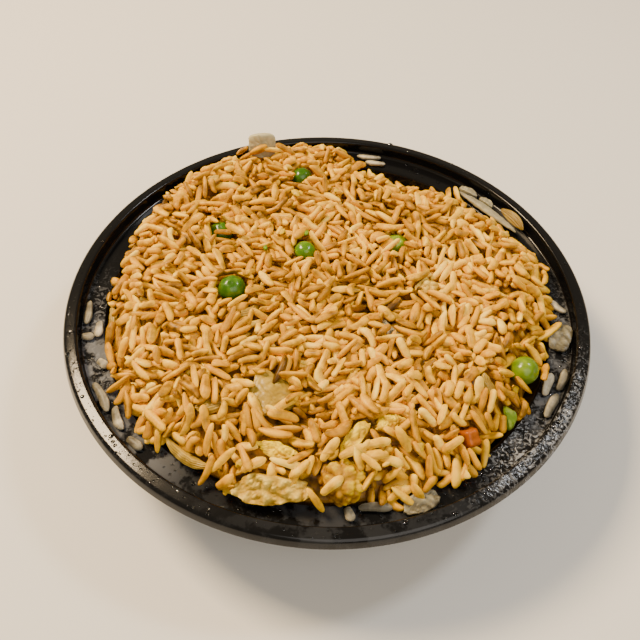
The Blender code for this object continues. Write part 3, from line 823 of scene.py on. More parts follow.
def grain_meshes(places, headings, slopes, rolls, lengths, widths, bows, flatness=0.74):
    """Many grains at once: rings of six points along a bowed line, and a point at each end.

    Every grain takes the same grid, so all points come from one array of shape (grain, point). Its
    section is an oval turned by its roll, with a groove, and it is slimmer towards one end. The last
    array is a change of tone by point: a painted highlight on the ridges, painted shade in the
    grooves, and uneven ends.
    """
    count, rings = len(places), len(GRAIN_STATIONS)
    along = np.concatenate([[-1.0], np.repeat(GRAIN_STATIONS, GRAIN_SIDES), [1.0]])
    ring = np.tile(np.arange(GRAIN_SIDES) * 2 * np.pi / GRAIN_SIDES, rings)
    around = np.concatenate([[0.0], ring, [0.0]])
    reach = np.concatenate([[0.0], np.repeat(grain_thickness(GRAIN_STATIONS), GRAIN_SIDES), [0.0]])
    groove = 1 - 0.15 * np.cos(3 * around[None, :] + 5 * rolls[:, None])
    lumps = 1 + 0.1 * np.sin(4 * along[None, :] + 9 * rolls[:, None])
    lumps *= 1 - 0.17 * np.sin(7 * rolls[:, None]) * along[None, :]
    half = widths[:, None] / 2 * reach[None, :] * groove * lumps
    wide, high = half * np.cos(around), half * flatness * np.sin(around)
    turn = rolls[:, None]
    bow = bows[:, None] * (1 - along[None, :] ** 2)
    x = lengths[:, None] / 2 * along[None, :]
    y = wide * np.cos(turn) - high * np.sin(turn) + bow * np.cos(turn)
    z = wide * np.sin(turn) + high * np.cos(turn) + 0.5 * bow * np.sin(turn)
    level = 1 / np.sqrt(1 + slopes**2)
    axis = np.stack([np.cos(headings) * level, np.sin(headings) * level, slopes * level], axis=-1)
    side = np.stack([-np.sin(headings), np.cos(headings), np.zeros(count)], axis=-1)
    up = np.cross(axis, side)
    points = places[:, None] + x[..., None] * axis[:, None] + y[..., None] * side[:, None]
    points += z[..., None] * up[:, None]
    quads, triangles = ball_faces(rings, GRAIN_SIDES)
    faces = repeated(count, points.shape[1], quads[:, ::-1], triangles[:, ::-1])
    # Painted shade in the grooves and a painted highlight on the ridges, following the groove's own angle.
    shade = -0.16 * np.cos(3 * around[None, :] + 5 * rolls[:, None])
    shade = shade + 0.12 * np.sin(3 * along[None, :] + 11 * rolls[:, None])
    return points.reshape(-1, 3), *faces, shade.ravel()


def topping_rows():
    """Every topping on the heap: node, shape, place on the heap, and slot."""
    block_lean = (math.radians(4), math.radians(96))
    rows = [
        ("egg_clump", curd(13.8, 13.6, 8.4, 3, 0.14, 1.1), (4.7, -73.2, 0.1, 1.5), "egg_yellow"),
        (
            "egg_pale_flake",
            flake(23.0, 8.6, 3.4, 1.4, 0.7, 4.0, 2, 2.2, 0.07, 0.22),
            (-15.2, -74.9, 0.0, 2.1),
            "egg_pale",
        ),
        (
            "egg_strip",
            flake(12.5, 4.6, 2.6, 1.0, 0.4, 4.0, 5, 2.6, 0.06, 0.16),
            (8.5, -61.6, 0.89, 1.2),
            "egg_yellow",
        ),
        (
            "egg_fold",
            flake(9.5, 4.6, 2.4, 1.0, 0.4, 4.0, 8, 2.2, 0.09, 0.3),
            (18.8, -57.1, 0.36, 1.0),
            "egg_yellow",
        ),
        (
            "egg_flake",
            flake(12.0, 4.7, 2.2, 0.8, 0.4, 4.0, 6, 2.0, 0.1, 0.3),
            (-14.1, -65.6, -0.28, 0.9),
            "egg_yellow",
        ),
        (
            "egg_cream_flake",
            flake(9.0, 6.2, 2.2, 1.2, 0.5, 4.0, 7, 2.2, 0.08, 0.2),
            (33.8, -4.4, 0.5, 1.0),
            "egg_pale",
        ),
        (
            "egg_scrap",
            flake(6.5, 4.0, 2.0, 0.6, 0.3, 4.0, 8, 2.2, 0.08, 0.2),
            (-45.3, 50.6, 1.2, 0.9),
            "egg_pale",
        ),
        (
            "onion_round",
            flake(14.5, 15.0, 2.4, 1.6, 0.2, 3.0, 3, 2.2, 0.07, 0.06, 0.05),
            (-17.1, -49.2, 0.3, 0.6),
            "onion",
        ),
        ("onion_crescent", crescent(17.0, 62, 3.4, 2.0, 1), (-40.6, -65.4, -0.55, 1.2), "onion"),
        ("onion_strip_1", crescent(14.0, 45, 3.2, 1.8, 2), (20.6, -24.2, -0.9, 0.8), "onion_clear"),
        ("onion_strip_2", crescent(12.0, 45, 3.4, 1.8, 3), (-26.5, -16.9, 0.5, 0.8), "onion"),
        ("onion_strip_3", crescent(11.0, 50, 4.0, 1.8, 4), (-34.3, -53.5, 0.2, 0.8), "onion"),
        ("onion_strip_4", crescent(12.0, 45, 4.0, 1.8, 5), (49.8, -42.6, -0.9, 0.8), "onion"),
        ("onion_edge", crescent(15.0, 48, 4.2, 2.0, 6), (-72.6, -14.0, 1.42, 1.0), "onion"),
        (
            "pea_skin",
            flake(7.5, 4.2, 1.4, 1.4, 0.3, 3.0, 9, 2.4),
            (56.4, -48.9, -0.97, 1.2),
            "pea_skin",
        ),
        ("carrot_wedge", carrot_block(6.4, 5.4, 8.2, 0.7), (42.3, -58.1, 0.4, 0.8), "carrot"),
        (
            "onion_block",
            flake(11.0, 10.0, 2.8, 1.2, 0.1, 3.0, 4, 6.0, 0.01, 0.05),
            (-27.4, 69.5, 0.15, 4.6, *block_lean),
            "onion_clear",
        ),
    ]
    diameter = sizes().pea_diameter / MM
    for index, (name, x, y, lift, size, slot) in enumerate(PEAS):
        rows.append((name, pea(diameter * size, index), (x, y, 0.4, lift), slot))
    return rows


def toppings():
    """Every topping on the heap by node: its points in place, its faces, its tone and its slot."""
    made = {}
    for name, (points, quads, triangles, tone), place, slot in topping_rows():
        made[name] = ((on_heap(points, *place), quads, triangles), tone + TONE_SHIFT.get(name, 0), slot)
    return made


def ledge_onions():
    """The onion on the ledge: node, shape, place on the ledge, and slot."""
    return (
        ("onion_back", crescent(110.0, 16.5, 3.2, 1.4, 7), (80.2, 37.6, 3, 34.4), "onion_clear"),
        ("onion_back_2", crescent(30.0, 26, 4.2, 1.4, 8), (84.0, 30.2, 0, 36.5, -38), "onion"),
        ("onion_back_3", flake(8.0, 3.3, 1.4, 0.6, 0.2, 3.0, 12), (83.2, 46.6, 6, 34.4), "onion_clear"),
        ("onion_back_4", flake(6.5, 2.9, 1.4, 0.6, 0.2, 3.0, 13), (83.6, 40.2, 2, 34.4), "onion_clear"),
        (
            "onion_right",
            flake(12.0, 7.8, 1.1, 0.5, 0.2, 3.0, 10, 4.0, 0.03, 0.2),
            (81.7, 349.4, -11, 34.5),
            "onion_clear",
        ),
        (
            "onion_front",
            flake(11.4, 6.2, 1.3, 0.6, 0.2, 3.0, 11, 3.0, 0.04, 0.2),
            (82.3, 290.0, 8, 34.5),
            "onion_clear",
        ),
    )


# The bowl


def rounded(corners, radius, steps=6):
    """A profile with each inner corner replaced by an arc of about this radius."""
    corners = np.array(corners, float)
    before, here, after = corners[:-2], corners[1:-1], corners[2:]
    back, ahead = before - here, after - here
    back_length = np.linalg.norm(back, axis=1)
    ahead_length = np.linalg.norm(ahead, axis=1)
    cut = np.minimum(radius, 0.45 * np.minimum(back_length, ahead_length))
    start = here + back * (cut / back_length)[:, None]
    end = here + ahead * (cut / ahead_length)[:, None]
    part = np.linspace(0, 1, steps)[None, :, None]
    curve = (1 - part) ** 2 * start[:, None] + 2 * part * (1 - part) * here[:, None] + part**2 * end[:, None]
    return np.concatenate([corners[:1], curve.reshape(-1, 2), corners[-1:]])


def bowl_corners():
    """The bowl's section: its inside up to the crest, over the rolled rim and down its outside."""
    return [
        (0.0, WALL),
        (BASE_RADIUS, WALL),
        (BASE_RADIUS + 5.2, 2.8),
        (SIDE_FOOT_RADIUS, SIDE_FOOT_Z),
        (LEDGE_INNER - 0.7, LEDGE_Z - 0.7),
        (LEDGE_INNER, LEDGE_Z),
        (LEDGE_OUTER, LEDGE_Z),
        (STEP_RADIUS, LEDGE_Z + 0.8),
        (STEP_RADIUS + 0.1, HEIGHT - 0.7),
        (CREST_RADIUS, HEIGHT),
        (BEND_RADIUS, HEIGHT - 0.5),
        (BEND_RADIUS + 0.8, HEIGHT - 1.1),
        (RIM_RADIUS, SKIRT_Z + 0.2),
        (RIM_RADIUS - 0.4, SKIRT_Z - 0.1),
        (RIM_RADIUS - 0.9, SKIRT_Z + 0.2),
        (BEND_RADIUS - 0.2, HEIGHT - 1.4),
        (CREST_RADIUS + 0.5, HEIGHT - WALL - 0.1),
        (STEP_RADIUS + WALL, LEDGE_Z + 0.3),
        (LEDGE_OUTER + 0.6, LEDGE_Z - WALL),
        (LEDGE_INNER + 0.4, LEDGE_Z - WALL),
        (SIDE_FOOT_RADIUS + WALL, SIDE_FOOT_Z - 0.2),
        (BASE_RADIUS + 5.6, 1.8),
        (BASE_RADIUS, 0.0),
        (0.0, 0.0),
    ]


def lathe(profile, sides):
    """A profile turned about Z: each of its points becomes a ring, and its two ends are poles."""
    angle = 2 * np.pi * np.arange(sides) / sides
    radius, height = profile[1:-1, :1], profile[1:-1, 1:]
    flat = np.zeros(sides)
    body = np.stack([radius * np.cos(angle), radius * np.sin(angle), height + flat], axis=-1)
    ends = [[[0, 0, profile[0, 1]]], [[0, 0, profile[-1, 1]]]]
    return np.concatenate([ends[0], body.reshape(-1, 3), ends[1]]), *ball_faces(len(profile) - 2, sides)


def lobes(points, rows):
    """A sum of bells on the rim: azimuth of the middle, its spread, inner and outer radius, strength."""
    azimuth = np.degrees(np.arctan2(points[:, 1], points[:, 0])) % 360
    out = np.hypot(points[:, 0], points[:, 1])
    total = np.zeros(len(points))
    for middle, spread, inner, outer, strength in rows:
        around = ((azimuth - middle + 180) % 360 - 180) / spread
        total += strength * np.exp(-(around**2)) * (out > inner) * (out < outer)
    return np.clip(total, 0, 1) * (points[:, 2] > LEDGE_Z - 0.1)


# Laying grains on a height map


def bowl_top(x, y):
    """The height of the bowl's upper side at x, y, read off its section."""
    inside = np.array(bowl_corners()[:12])
    return np.interp(np.hypot(x, y), inside[:, 0], inside[:, 1])


def map_of_points(points):
    """The highest point over each cell of the map, grown by a cell so that no hole is left."""
    top = np.full((CELLS, CELLS), -1.0)
    cell = np.clip(((points[:, :2] + REACH) / CELL).astype(int), 0, CELLS - 1)
    np.maximum.at(top, (cell[:, 0], cell[:, 1]), points[:, 2])
    for axis in (0, 1):
        top = np.maximum(top, np.maximum(np.roll(top, 1, axis), np.roll(top, -1, axis)))
    return top


def footprints(length, width, headings):
    """For each heading, the cells under a grain, their place along it and its half thickness there."""
    half = int(length / 2 / CELL) + 1
    steps = np.arange(-half, half + 1)
    dx, dy = np.meshgrid(steps, steps, indexing="ij")
    made = []
    for heading in headings:
        along = (dx * math.cos(heading) + dy * math.sin(heading)) * CELL
        across = (dy * math.cos(heading) - dx * math.sin(heading)) * CELL
        inside = np.abs(along) < length / 2
        wide = width / 2 * grain_thickness(np.where(inside, along / (length / 2), 0))
        under = inside & (np.abs(across) < wide * 0.98)
        rise = np.sqrt(1 - (across[under] / wide[under]) ** 2) * wide[under] * 0.88
        made.append((dx[under], dy[under], along[under], rise))
    return made


def grain_bed(laid_toppings):
    """The map that grains are laid on.

    target is the surface that the heap should reach, the smooth heap plus low lumps; ground is what
    lies there so far, the core, the bowl and the toppings; guard is how much a cell counts as
    covered; run is the heading that grains near it share.
    """
    centre = (np.arange(CELLS) + 0.5) * CELL - REACH
    x, y = np.meshgrid(centre, centre, indexing="ij")
    flat = np.stack([x.ravel(), y.ravel(), 0 * x.ravel()], axis=-1)
    out = np.hypot(x, y)
    foot, _, _ = heap_foot(np.arctan2(y, x))
    bowl = bowl_top(x, y)
    smooth = heap_height(x, y)
    lumps = 0.8 * waves(flat, 14, 13.0).reshape(x.shape) * np.clip((foot - out) / 8, 0, 1)
    target = np.maximum(smooth + lumps, bowl + 1.2)
    guard = np.zeros_like(target)
    kept = np.full_like(target, -1.0)
    for name, (shape, _, _) in laid_toppings.items():
        top = map_of_points(shape[0])
        share = COVER / MAY_COVER.get(name, COVER)
        guard = np.where(top > smooth + 0.2, np.maximum(guard, share), guard)
        kept = np.maximum(kept, top)
    ragged = 0.9 * waves(flat, 3, 14.0).reshape(x.shape)
    length, width = sizes().grain_length / MM, sizes().grain_width / MM
    headings = np.arange(TURNS) * np.pi / TURNS
    return SimpleNamespace(
        x=x,
        y=y,
        out=out,
        foot=foot,
        target=target,
        steep=np.hypot(*np.gradient(smooth, CELL)),
        guard=guard,
        kept=kept,
        ground=np.maximum(np.maximum(smooth - LAYER, bowl), kept),
        run=0.6 * np.pi * waves(flat, 8, 24.0).reshape(x.shape),
        spots=np.argwhere((out < foot + 0.2 + ragged) & (out < STEP_RADIUS - 2.2)),
        length=length,
        width=width,
        prints=[footprints(length * part, width, headings) for part in GRAIN_PARTS],
    )


def cells_under(bed, size, turn, i, j):
    """The map's cells under a grain of this size and heading whose middle is at i, j."""
    di, dj, _, _ = bed.prints[size][turn]
    return np.clip(i + di, 0, CELLS - 1), np.clip(j + dj, 0, CELLS - 1)


def add_grain(bed, laid, i, j, size, turn, height, slope):
    """Notes a grain and raises the map to its upper side, height + slope * along + half thickness."""
    _, _, along, rise = bed.prints[size][turn]
    cells = cells_under(bed, size, turn, i, j)
    bed.ground[cells] = np.maximum(bed.ground[cells], height + slope * along + rise)
    heading = turn * np.pi / TURNS
    laid.append((bed.x[i, j], bed.y[i, j], height, heading, slope, bed.length * GRAIN_PARTS[size]))


def beside(bed, i, j, heading, draw):
    """Places for one to three more grains beside this one, lying almost along it."""
    places = []
    for step in range(1, draw.integers(2, 5)):
        side = step * bed.width * 0.95 / CELL
        slip = draw.normal(0, 1.5) / CELL
        ni = round(i - side * math.sin(heading) + slip * math.cos(heading))
        nj = round(j + side * math.cos(heading) + slip * math.sin(heading))
        if math.hypot(ni - CELLS / 2, nj - CELLS / 2) * CELL < bed.foot[i, j]:
            places.append((ni, nj, heading + draw.normal(0, 0.14)))
    return places


def drop_grains(bed, laid, draw):
    """Drops grains one by one on the map, lowest places first, each at rest on what lies below.

    The resting height is the least z at which the underside, z + slope * along - half thickness,
    clears the map everywhere; of a few headings and many slopes, the one that lets the middle sink
    lowest is taken. A grain that would stand too proud or cover a topping is left out.
    """
    slopes = np.linspace(-1.0, 1.0, 21)
    misses = 0
    follow = []
    while len(laid) < sizes().grain_count and misses < DROPS_MISSED:
        if follow:
            i, j, heading = follow.pop()
        else:
            tries = bed.spots[draw.integers(0, len(bed.spots), DROP_PLACES)]
            rows, columns = tries.T
            i, j = tries[np.argmin(bed.ground[rows, columns] - bed.target[rows, columns])]
            keeps = draw.random() < KEEPS_TO_RUN
            heading = bed.run[i, j] + (draw.normal(0, 0.45) if keeps else draw.uniform(-1.6, 1.6))
        lowest = None
        for swing in (0.0, -0.5, 0.5, 1.2):
            size = draw.integers(0, len(GRAIN_PARTS))
            turn = round((heading + swing) / np.pi * TURNS) % TURNS
            cells = cells_under(bed, size, turn, i, j)
            _, _, along, rise = bed.prints[size][turn]
            heights = (bed.ground[cells] + rise - slopes[:, None] * along).max(axis=1)
            chance = draw.normal(0, 0.12, len(slopes))
            best = np.argmin(heights + SLOPE_COST * np.abs(slopes) + chance)
            covers = bed.guard[cells].mean()
            cost = heights[best] + abs(swing) * TURN_COST + COVER_COST * max(covers - COVER, 0)
            if lowest is None or cost < lowest[0]:
                lowest = (cost, heights[best] - SINK, slopes[best], size, turn, covers, cells)
        _, height, slope, size, turn, covers, cells = lowest
        aim = bed.target[i, j]
        limit = 1.1 + 0.9 * min(bed.steep[i, j], 2.0) + np.clip(bed.kept[cells].max() - aim, 0, 3)
        limit += 0.5 * np.clip(aim - bed.ground[i, j] - 1, 0, 2)
        too_far_out = bed.out[cells].max() > STEP_RADIUS - CLEAR_OF_STEP
        if height - aim > limit or covers > COVER or too_far_out:
            misses += 1
            continue
        misses = 0
        add_grain(bed, laid, i, j, size, turn, height, slope)
        if not follow and draw.random() < OTHERS_FOLLOW:
            follow = beside(bed, i, j, heading, draw)


def push_grains(bed, laid, draw):
    """Pushes grains into the gaps that are left, along the heap's own slope and just below its surface."""
    lean_x, lean_y = np.gradient(bed.target, CELL)
    misses = 0
    while len(laid) < sizes().grain_count and misses < PUSHES_MISSED:
        tries = bed.spots[draw.integers(0, len(bed.spots), PUSH_PLACES)]
        rows, columns = tries.T
        gaps = bed.target[rows, columns] - bed.ground[rows, columns]
        i, j = tries[np.argmax(gaps)]
        size = draw.integers(0, len(GRAIN_PARTS))
        turn = round((bed.run[i, j] + draw.normal(0, 0.9)) / np.pi * TURNS) % TURNS
        cells = cells_under(bed, size, turn, i, j)
        too_far_out = bed.out[cells].max() > STEP_RADIUS - CLEAR_OF_STEP
        if gaps.max() < GAP_LEFT or bed.guard[cells].mean() > PUSHED_COVER or too_far_out:
            misses += 1
            continue
        heading = turn * np.pi / TURNS
        slope = lean_x[i, j] * math.cos(heading) + lean_y[i, j] * math.sin(heading)
        height = bed.target[i, j] - draw.uniform(0.1, 0.9)
        add_grain(bed, laid, i, j, size, turn, height, np.clip(slope, -1.2, 1.2))


def lay_grains(laid_toppings, draw):
    """The heap's grains as rows of x, y, z, heading, slope and length, none above the CAD's top."""
    bed = grain_bed(laid_toppings)
    laid = []
    drop_grains(bed, laid, draw)
    push_grains(bed, laid, draw)
    if len(laid) < LEAST_GRAINS:
        raise RuntimeError(f"only {len(laid)} grains found a place on the heap")
    laid = np.array(laid)
    slope, length = laid[:, 4], laid[:, 5]
    tops = laid[:, 2] + np.abs(slope) / np.sqrt(1 + slope**2) * length / 2 + GRAIN_RISE * bed.width
    laid[:, 2] -= np.maximum(tops - CAD_TOP + TOP_ROOM, 0)
    return laid


def heap_core():
    """The mass below the grains: the heap's form sunk under them, with relief the size of a grain.

    Rings shrink from the heap's edge to its middle at heap_height - LAYER + CORE_RISE plus waves, and
    three more rings close it down the bowl's inside to its floor.
    """
    sides, rings = 240, 90
    angle = 2 * np.pi * np.arange(sides) / sides
    foot, _, _ = heap_foot(angle)
    edge = np.minimum(foot - 2.2, LEDGE_INNER - 1.6)
    part = np.linspace(0, 1, rings + 1)[1:, None]
    x, y = part * edge * np.cos(angle), part * edge * np.sin(angle)
    flat = np.stack([x.ravel(), y.ravel(), 0 * x.ravel()], axis=-1)
    relief = 0.35 * waves(flat, 6, 5.0) + 0.3 * waves(flat, 7, 2.8)
    top = heap_height(x, y) - LAYER + CORE_RISE + relief.reshape(x.shape)
    wall = []
    steps = ((SIDE_FOOT_RADIUS - 0.4, SIDE_FOOT_Z), (BASE_RADIUS + 4.6, 3.2), (BASE_RADIUS - 0.5, WALL + 0.3))
    for radius, height in steps:
        ring = [radius * np.cos(angle), radius * np.sin(angle), np.full(sides, height)]
        wall.append(np.stack(ring, axis=-1))
    body = np.concatenate([np.stack([x, y, top], axis=-1), wall]).reshape(-1, 3)
    middle = float(heap_height(0, 0)) - LAYER + CORE_RISE
    points = np.concatenate([[[0, 0, middle]], body, [[0, 0, WALL + 0.3]]])
    return points, *ball_faces(rings + len(wall), sides)


def bits(rows, seed):
    """Small scraps in the rice: low balls with creased sides, joined in one mesh."""
    ball = ball_points(9, 14)
    quads, triangles = ball_faces(9, 14)
    placed = []
    for index, (x, y, lift, heading, length, width, height) in enumerate(rows):
        reach = 1 - 0.25 * np.abs(waves(ball, seed + index, 1.3))
        shape = ball * reach[:, None] * [length / 2, width / 2, height / 2]
        placed.append(on_heap(shape, x, y, heading, lift))
    return np.concatenate(placed), *repeated(len(rows), len(ball), quads, triangles)


# Operators


class FRIEDRICE_OT_bowl(bpy.types.Operator):
    """Make the bowl, with its dried film, and wet crinkles with painted glints"""

    bl_idname = "fried_rice.bowl"
    bl_label = "Bowl"

    def execute(self, context):
        """Turns the section, its corners rounded, about Z; film and wet are sums of bells on the rim, and wet
        also places the painted glints.
        """
        shape = lathe(rounded(bowl_corners(), 0.9), 320)
        film = lobes(shape[0], FILM)
        wet = lobes(shape[0], WET_AND_GLINTS)
        put("bowl_look", shape, "black_plastic", ("bowl",), film=film, wet=wet)
        return {"FINISHED"}


class FRIEDRICE_OT_heap(bpy.types.Operator):
    """Make the heap: a core within the bowl, and grains laid on it in four colours"""

    bl_idname = "fried_rice.heap"
    bl_label = "Heap of rice"

    def execute(self, context):
        """Lays the grains; a random share plus a slow wave chooses the kind, and draws the tone and form."""
        draw = np.random.default_rng(11)
        laid = lay_grains(toppings(), draw)
        count = len(laid)
        patches = waves(laid[:, :3], 9, 50.0)
        choice = draw.random(count) + 0.1 * patches
        kinds = np.digitize(choice, [share for _, _, share in GRAIN_KINDS[:-1]])
        tones = np.clip(draw.normal(0.5, 0.16, count) + 0.08 * patches, 0, 1)
        widths = sizes().grain_width / MM * draw.uniform(0.8, 1.14, count)
        bows = draw.normal(0, 0.65, count)
        rolls = draw.uniform(0, 2 * np.pi, count)
        for kind, (name, look, _) in enumerate(GRAIN_KINDS):
            own = kinds == kind
            pick = laid[own]
            *shape, shade = grain_meshes(
                pick[:, :3], pick[:, 3], pick[:, 4], rolls[own], pick[:, 5], widths[own], bows[own]
            )
            tone = shade + np.repeat(tones[own], len(shade) // len(pick))
            put(f"rice_{name}_grains", shape, "rice", ("rice",), look=look, tone=tone)
        core = heap_core()
        # The core takes the browned rice look at a low tone: painted shade in the gaps between the grains.
        put("rice_core", core, "rice", ("rice",), look="rice_browned_and_core_shade", tone=np.full(len(core[0]), 0.25))
        return {"FINISHED"}


class FRIEDRICE_OT_loose_grains(bpy.types.Operator):
    """Make the loose grains on the ledge and at the heap's foot"""

    bl_idname = "fried_rice.loose_grains"
    bl_label = "Loose grains"

    def execute(self, context):
        """Lays grains flat on the ledge, sloped at the heap's foot, and over the egg and onion."""
        rows = np.array([row[1:] for row in LEDGE_GRAINS])
        heights = np.full(len(rows), LEDGE_Z + 1.0)
        *shape, shade = self.shape(*rows[:, :3].T, heights, 0 * heights, *rows[:, 3:5].T, flatness=0.6)
        tone = shade + np.repeat(rows[:, 5], len(shade) // len(rows))
        nodes = [row[0] for row in LEDGE_GRAINS]
        put("ledge_grains", shape, "rice_pale", nodes, tone=tone)
        rows = np.array(FOOT_GRAINS)
        *shape, shade = self.shape(*rows.T)
        put("foot_grains", shape, "rice", ("rice",), look="rice_light", tone=shade + 0.5)
        *shape, shade = self.over_egg()
        put("over_grains", shape, "rice", ("rice",), look="rice_light", tone=shade + 0.5)
        return {"FINISHED"}

    def over_egg(self):
        """Grains that follow the slope of the heap, lifted to lie over the egg and the onion."""
        x, y, lift, heading, length, bow = np.array(OVER_GRAINS).T
        headings = np.radians(heading)
        ahead = heap_height(x + 2 * np.cos(headings), y + 2 * np.sin(headings))
        behind = heap_height(x - 2 * np.cos(headings), y - 2 * np.sin(headings))
        places = np.stack([x, y, heap_height(x, y) + lift], axis=-1)
        widths = np.full(len(x), sizes().grain_width / MM)
        return grain_meshes(places, headings, (ahead - behind) / 4, 0 * x, length, widths, bow)

    def shape(self, radius, azimuth, heading, height, slope, length, bow, flatness=0.74):
        """Grains laid out from polar places, their headings measured off the rim's run."""
        angle = np.radians(azimuth)
        places = np.stack([radius * np.cos(angle), radius * np.sin(angle), height], axis=-1)
        headings = angle + np.pi / 2 + np.radians(heading)
        widths = np.full(len(radius), sizes().grain_width / MM)
        return grain_meshes(places, headings, slope, 0 * slope, length, widths, bow, flatness)


class FRIEDRICE_OT_toppings(bpy.types.Operator):
    """Make the peas, egg, carrot and onion on the heap"""

    bl_idname = "fried_rice.toppings"
    bl_label = "Peas, egg, carrot and onion"

    def execute(self, context):
        """Puts each topping at its place on the heap."""
        for name, (shape, tone, slot) in toppings().items():
            put(name + "_look", shape, slot, (name,), tone=tone)
        return {"FINISHED"}


class FRIEDRICE_OT_ledge_onion(bpy.types.Operator):
    """Make the onion on the ledge"""

    bl_idname = "fried_rice.ledge_onion"
    bl_label = "Onion on the ledge"

    def execute(self, context):
        """Puts each piece of onion at its place on the ledge."""
        for name, (points, quads, triangles, tone), place, slot in ledge_onions():
            tone = tone + TONE_SHIFT.get(name, 0)
            put(name + "_look", (on_ledge(points, *place), quads, triangles), slot, (name,), tone=tone)
        return {"FINISHED"}


class FRIEDRICE_OT_bits(bpy.types.Operator):
    """Make the small bits of egg, pea and browned rice among the grains"""

    bl_idname = "fried_rice.bits"
    bl_label = "Small bits"

    def execute(self, context):
        """Puts the bits of each kind as one mesh."""
        rows = (("egg_bits", EGG_BITS, "egg_yellow"), ("green_bits", GREEN_BITS, "pea_green"))
        for name, bit_rows, slot in (*rows, ("brown_bits", BROWN_BITS, "rice")):
            shape = bits(bit_rows, 20)
            look = "rice_browned_and_core_shade" if slot == "rice" else slot
            tone = 0.1 if slot == "rice" else 0.7
            put(name, shape, slot, look=look, tone=np.full(len(shape[0]), tone))
        return {"FINISHED"}


class FRIEDRICE_OT_droplets(bpy.types.Operator):
    """Make the droplets of water on the ledge and the rim"""

    bl_idname = "fried_rice.droplets"
    bl_label = "Droplets"

    def execute(self, context):
        """Flat beads of random size, half on the ledge and half on the rim, lower away from its crest."""
        count = sizes().droplet_count
        draw = np.random.default_rng(5)
        gathered = draw.choice(DROPLET_AZIMUTHS, count)
        angle = np.radians(gathered + draw.normal(0, DROPLET_SPREAD, count))
        ledge = draw.random(count) < 0.5
        radius = np.where(ledge, draw.uniform(79.4, 85.2, count), draw.uniform(87.6, 90.2, count))
        fall = 0.5 * (radius - CREST_RADIUS) / (BEND_RADIUS - CREST_RADIUS)
        height = np.where(ledge, LEDGE_Z, HEIGHT - fall)
        size = draw.lognormal(-1.2, 0.5, count)
        ball = ball_points(5, 10)
        places = np.stack([radius * np.cos(angle), radius * np.sin(angle), height], axis=-1)
        scale = np.stack([size, size * draw.uniform(0.7, 1.0, count), size * 0.4], axis=-1)
        points = (places[:, None] + ball[None] * scale[:, None]).reshape(-1, 3)
        faces = repeated(count, len(ball), *ball_faces(5, 10))
        put("water_droplets", (points, *faces), "black_plastic", look="water")
        return {"FINISHED"}


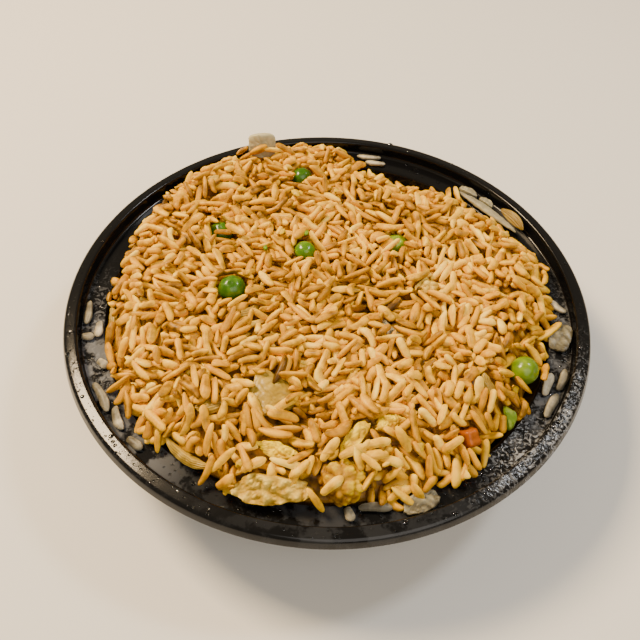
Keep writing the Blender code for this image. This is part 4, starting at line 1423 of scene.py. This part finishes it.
class FRIEDRICE_OT_stage(bpy.types.Operator):
    """Make the floor, the lights and the camera"""

    bl_idname = "fried_rice.stage"
    bl_label = "Stage"

    def execute(self, context):
        """Puts the floor, one soft box for each row of LAMPS, an even sky and the camera."""
        options = context.scene.fried_rice_stage
        mesh = bpy.data.meshes.new("floor")
        corners = [(-1, -1), (1, -1), (1, 1), (-1, 1)]
        mesh.from_pydata([(x * FLOOR_REACH, y * FLOOR_REACH, 0) for x, y in corners], [], [(0, 1, 2, 3)])
        mesh.materials.append(finish("floor"))
        floor = bpy.data.objects.new("floor", mesh)
        context.scene.collection.objects.link(floor)
        for name, place, size, share, colour in LAMPS:
            self.soft_box(name, place, size, options.key_power * share, colour)
        world = bpy.data.worlds.new("studio")
        world.use_nodes = True
        sky = world.node_tree.nodes["Background"]
        sky.inputs["Color"].default_value = linear(SKY_COLOUR)
        sky.inputs["Strength"].default_value = options.sky
        context.scene.world = world
        self.camera(context.scene)
        return {"FINISHED"}

    def soft_box(self, name, place, size, power, colour):
        """A square lamp aimed at the middle of the rim."""
        light = bpy.data.lights.new(name, "AREA")
        light.size = size
        light.energy = power
        light.color = linear(colour)[:3]
        made = bpy.data.objects.new(name, light)
        bpy.context.scene.collection.objects.link(made)
        made.location = place
        aim = Vector(place) - Vector((0, 0, HEIGHT * MM))
        made.rotation_euler = aim.to_track_quat("Z", "Y").to_euler()

    def camera(self, scene):
        """The camera stands back from its aim by its distance, raised and leant by its angles."""
        data = bpy.data.cameras.new("camera")
        data.lens = CAMERA_LENS
        data.sensor_width = 36.0
        data.clip_start = 0.01
        made = bpy.data.objects.new("camera", data)
        scene.collection.objects.link(made)
        raised = Matrix.Rotation(math.radians(90 - CAMERA_ELEVATION), 4, "X")
        lean = Matrix.Rotation(math.radians(CAMERA_ROLL), 4, "Z")
        aim = Matrix.Translation([part * MM for part in LOOK_AT])
        made.matrix_world = aim @ raised @ lean @ Matrix.Translation((0, 0, CAMERA_DISTANCE * MM))
        scene.camera = made


OPERATORS = (
    FRIEDRICE_OT_stage,
    FRIEDRICE_OT_bowl,
    FRIEDRICE_OT_heap,
    FRIEDRICE_OT_loose_grains,
    FRIEDRICE_OT_toppings,
    FRIEDRICE_OT_ledge_onion,
    FRIEDRICE_OT_bits,
    FRIEDRICE_OT_droplets,
)
GROUPS = {
    "fried_rice_sizes": FriedRiceSizes,
    "fried_rice_colours": FriedRiceColours,
    "fried_rice_stage": FriedRiceStage,
}


class FRIEDRICE_PT_panel(bpy.types.Panel):
    """The settings and the pieces, in the order they are made"""

    bl_idname = "FRIEDRICE_PT_panel"
    bl_label = "Fried rice bowl"
    bl_space_type = "VIEW_3D"
    bl_region_type = "UI"
    bl_category = "Fried rice"

    def draw(self, context):
        """Every setting of each group, and then a button for each operator."""
        for key, group in GROUPS.items():
            for setting in group.__annotations__:
                self.layout.prop(getattr(context.scene, key), setting)
        for maker in OPERATORS:
            self.layout.operator(maker.bl_idname)


def register():
    """Registers groups, operators and panel, and gives the scene its groups."""
    for kind in (*GROUPS.values(), *OPERATORS, FRIEDRICE_PT_panel):
        bpy.utils.register_class(kind)
    for key, group in GROUPS.items():
        setattr(bpy.types.Scene, key, PointerProperty(type=group))


def unregister():
    """Takes away what register adds, last thing first."""
    for key in GROUPS:
        delattr(bpy.types.Scene, key)
    for kind in (FRIEDRICE_PT_panel, *reversed(OPERATORS), *reversed(GROUPS.values())):
        bpy.utils.unregister_class(kind)


def main():
    """Makes every piece in order."""
    register()
    bpy.ops.fried_rice.stage()
    bpy.ops.fried_rice.bowl()
    bpy.ops.fried_rice.heap()
    bpy.ops.fried_rice.loose_grains()
    bpy.ops.fried_rice.toppings()
    bpy.ops.fried_rice.ledge_onion()
    bpy.ops.fried_rice.bits()
    bpy.ops.fried_rice.droplets()


if __name__ == "__main__":
    main()
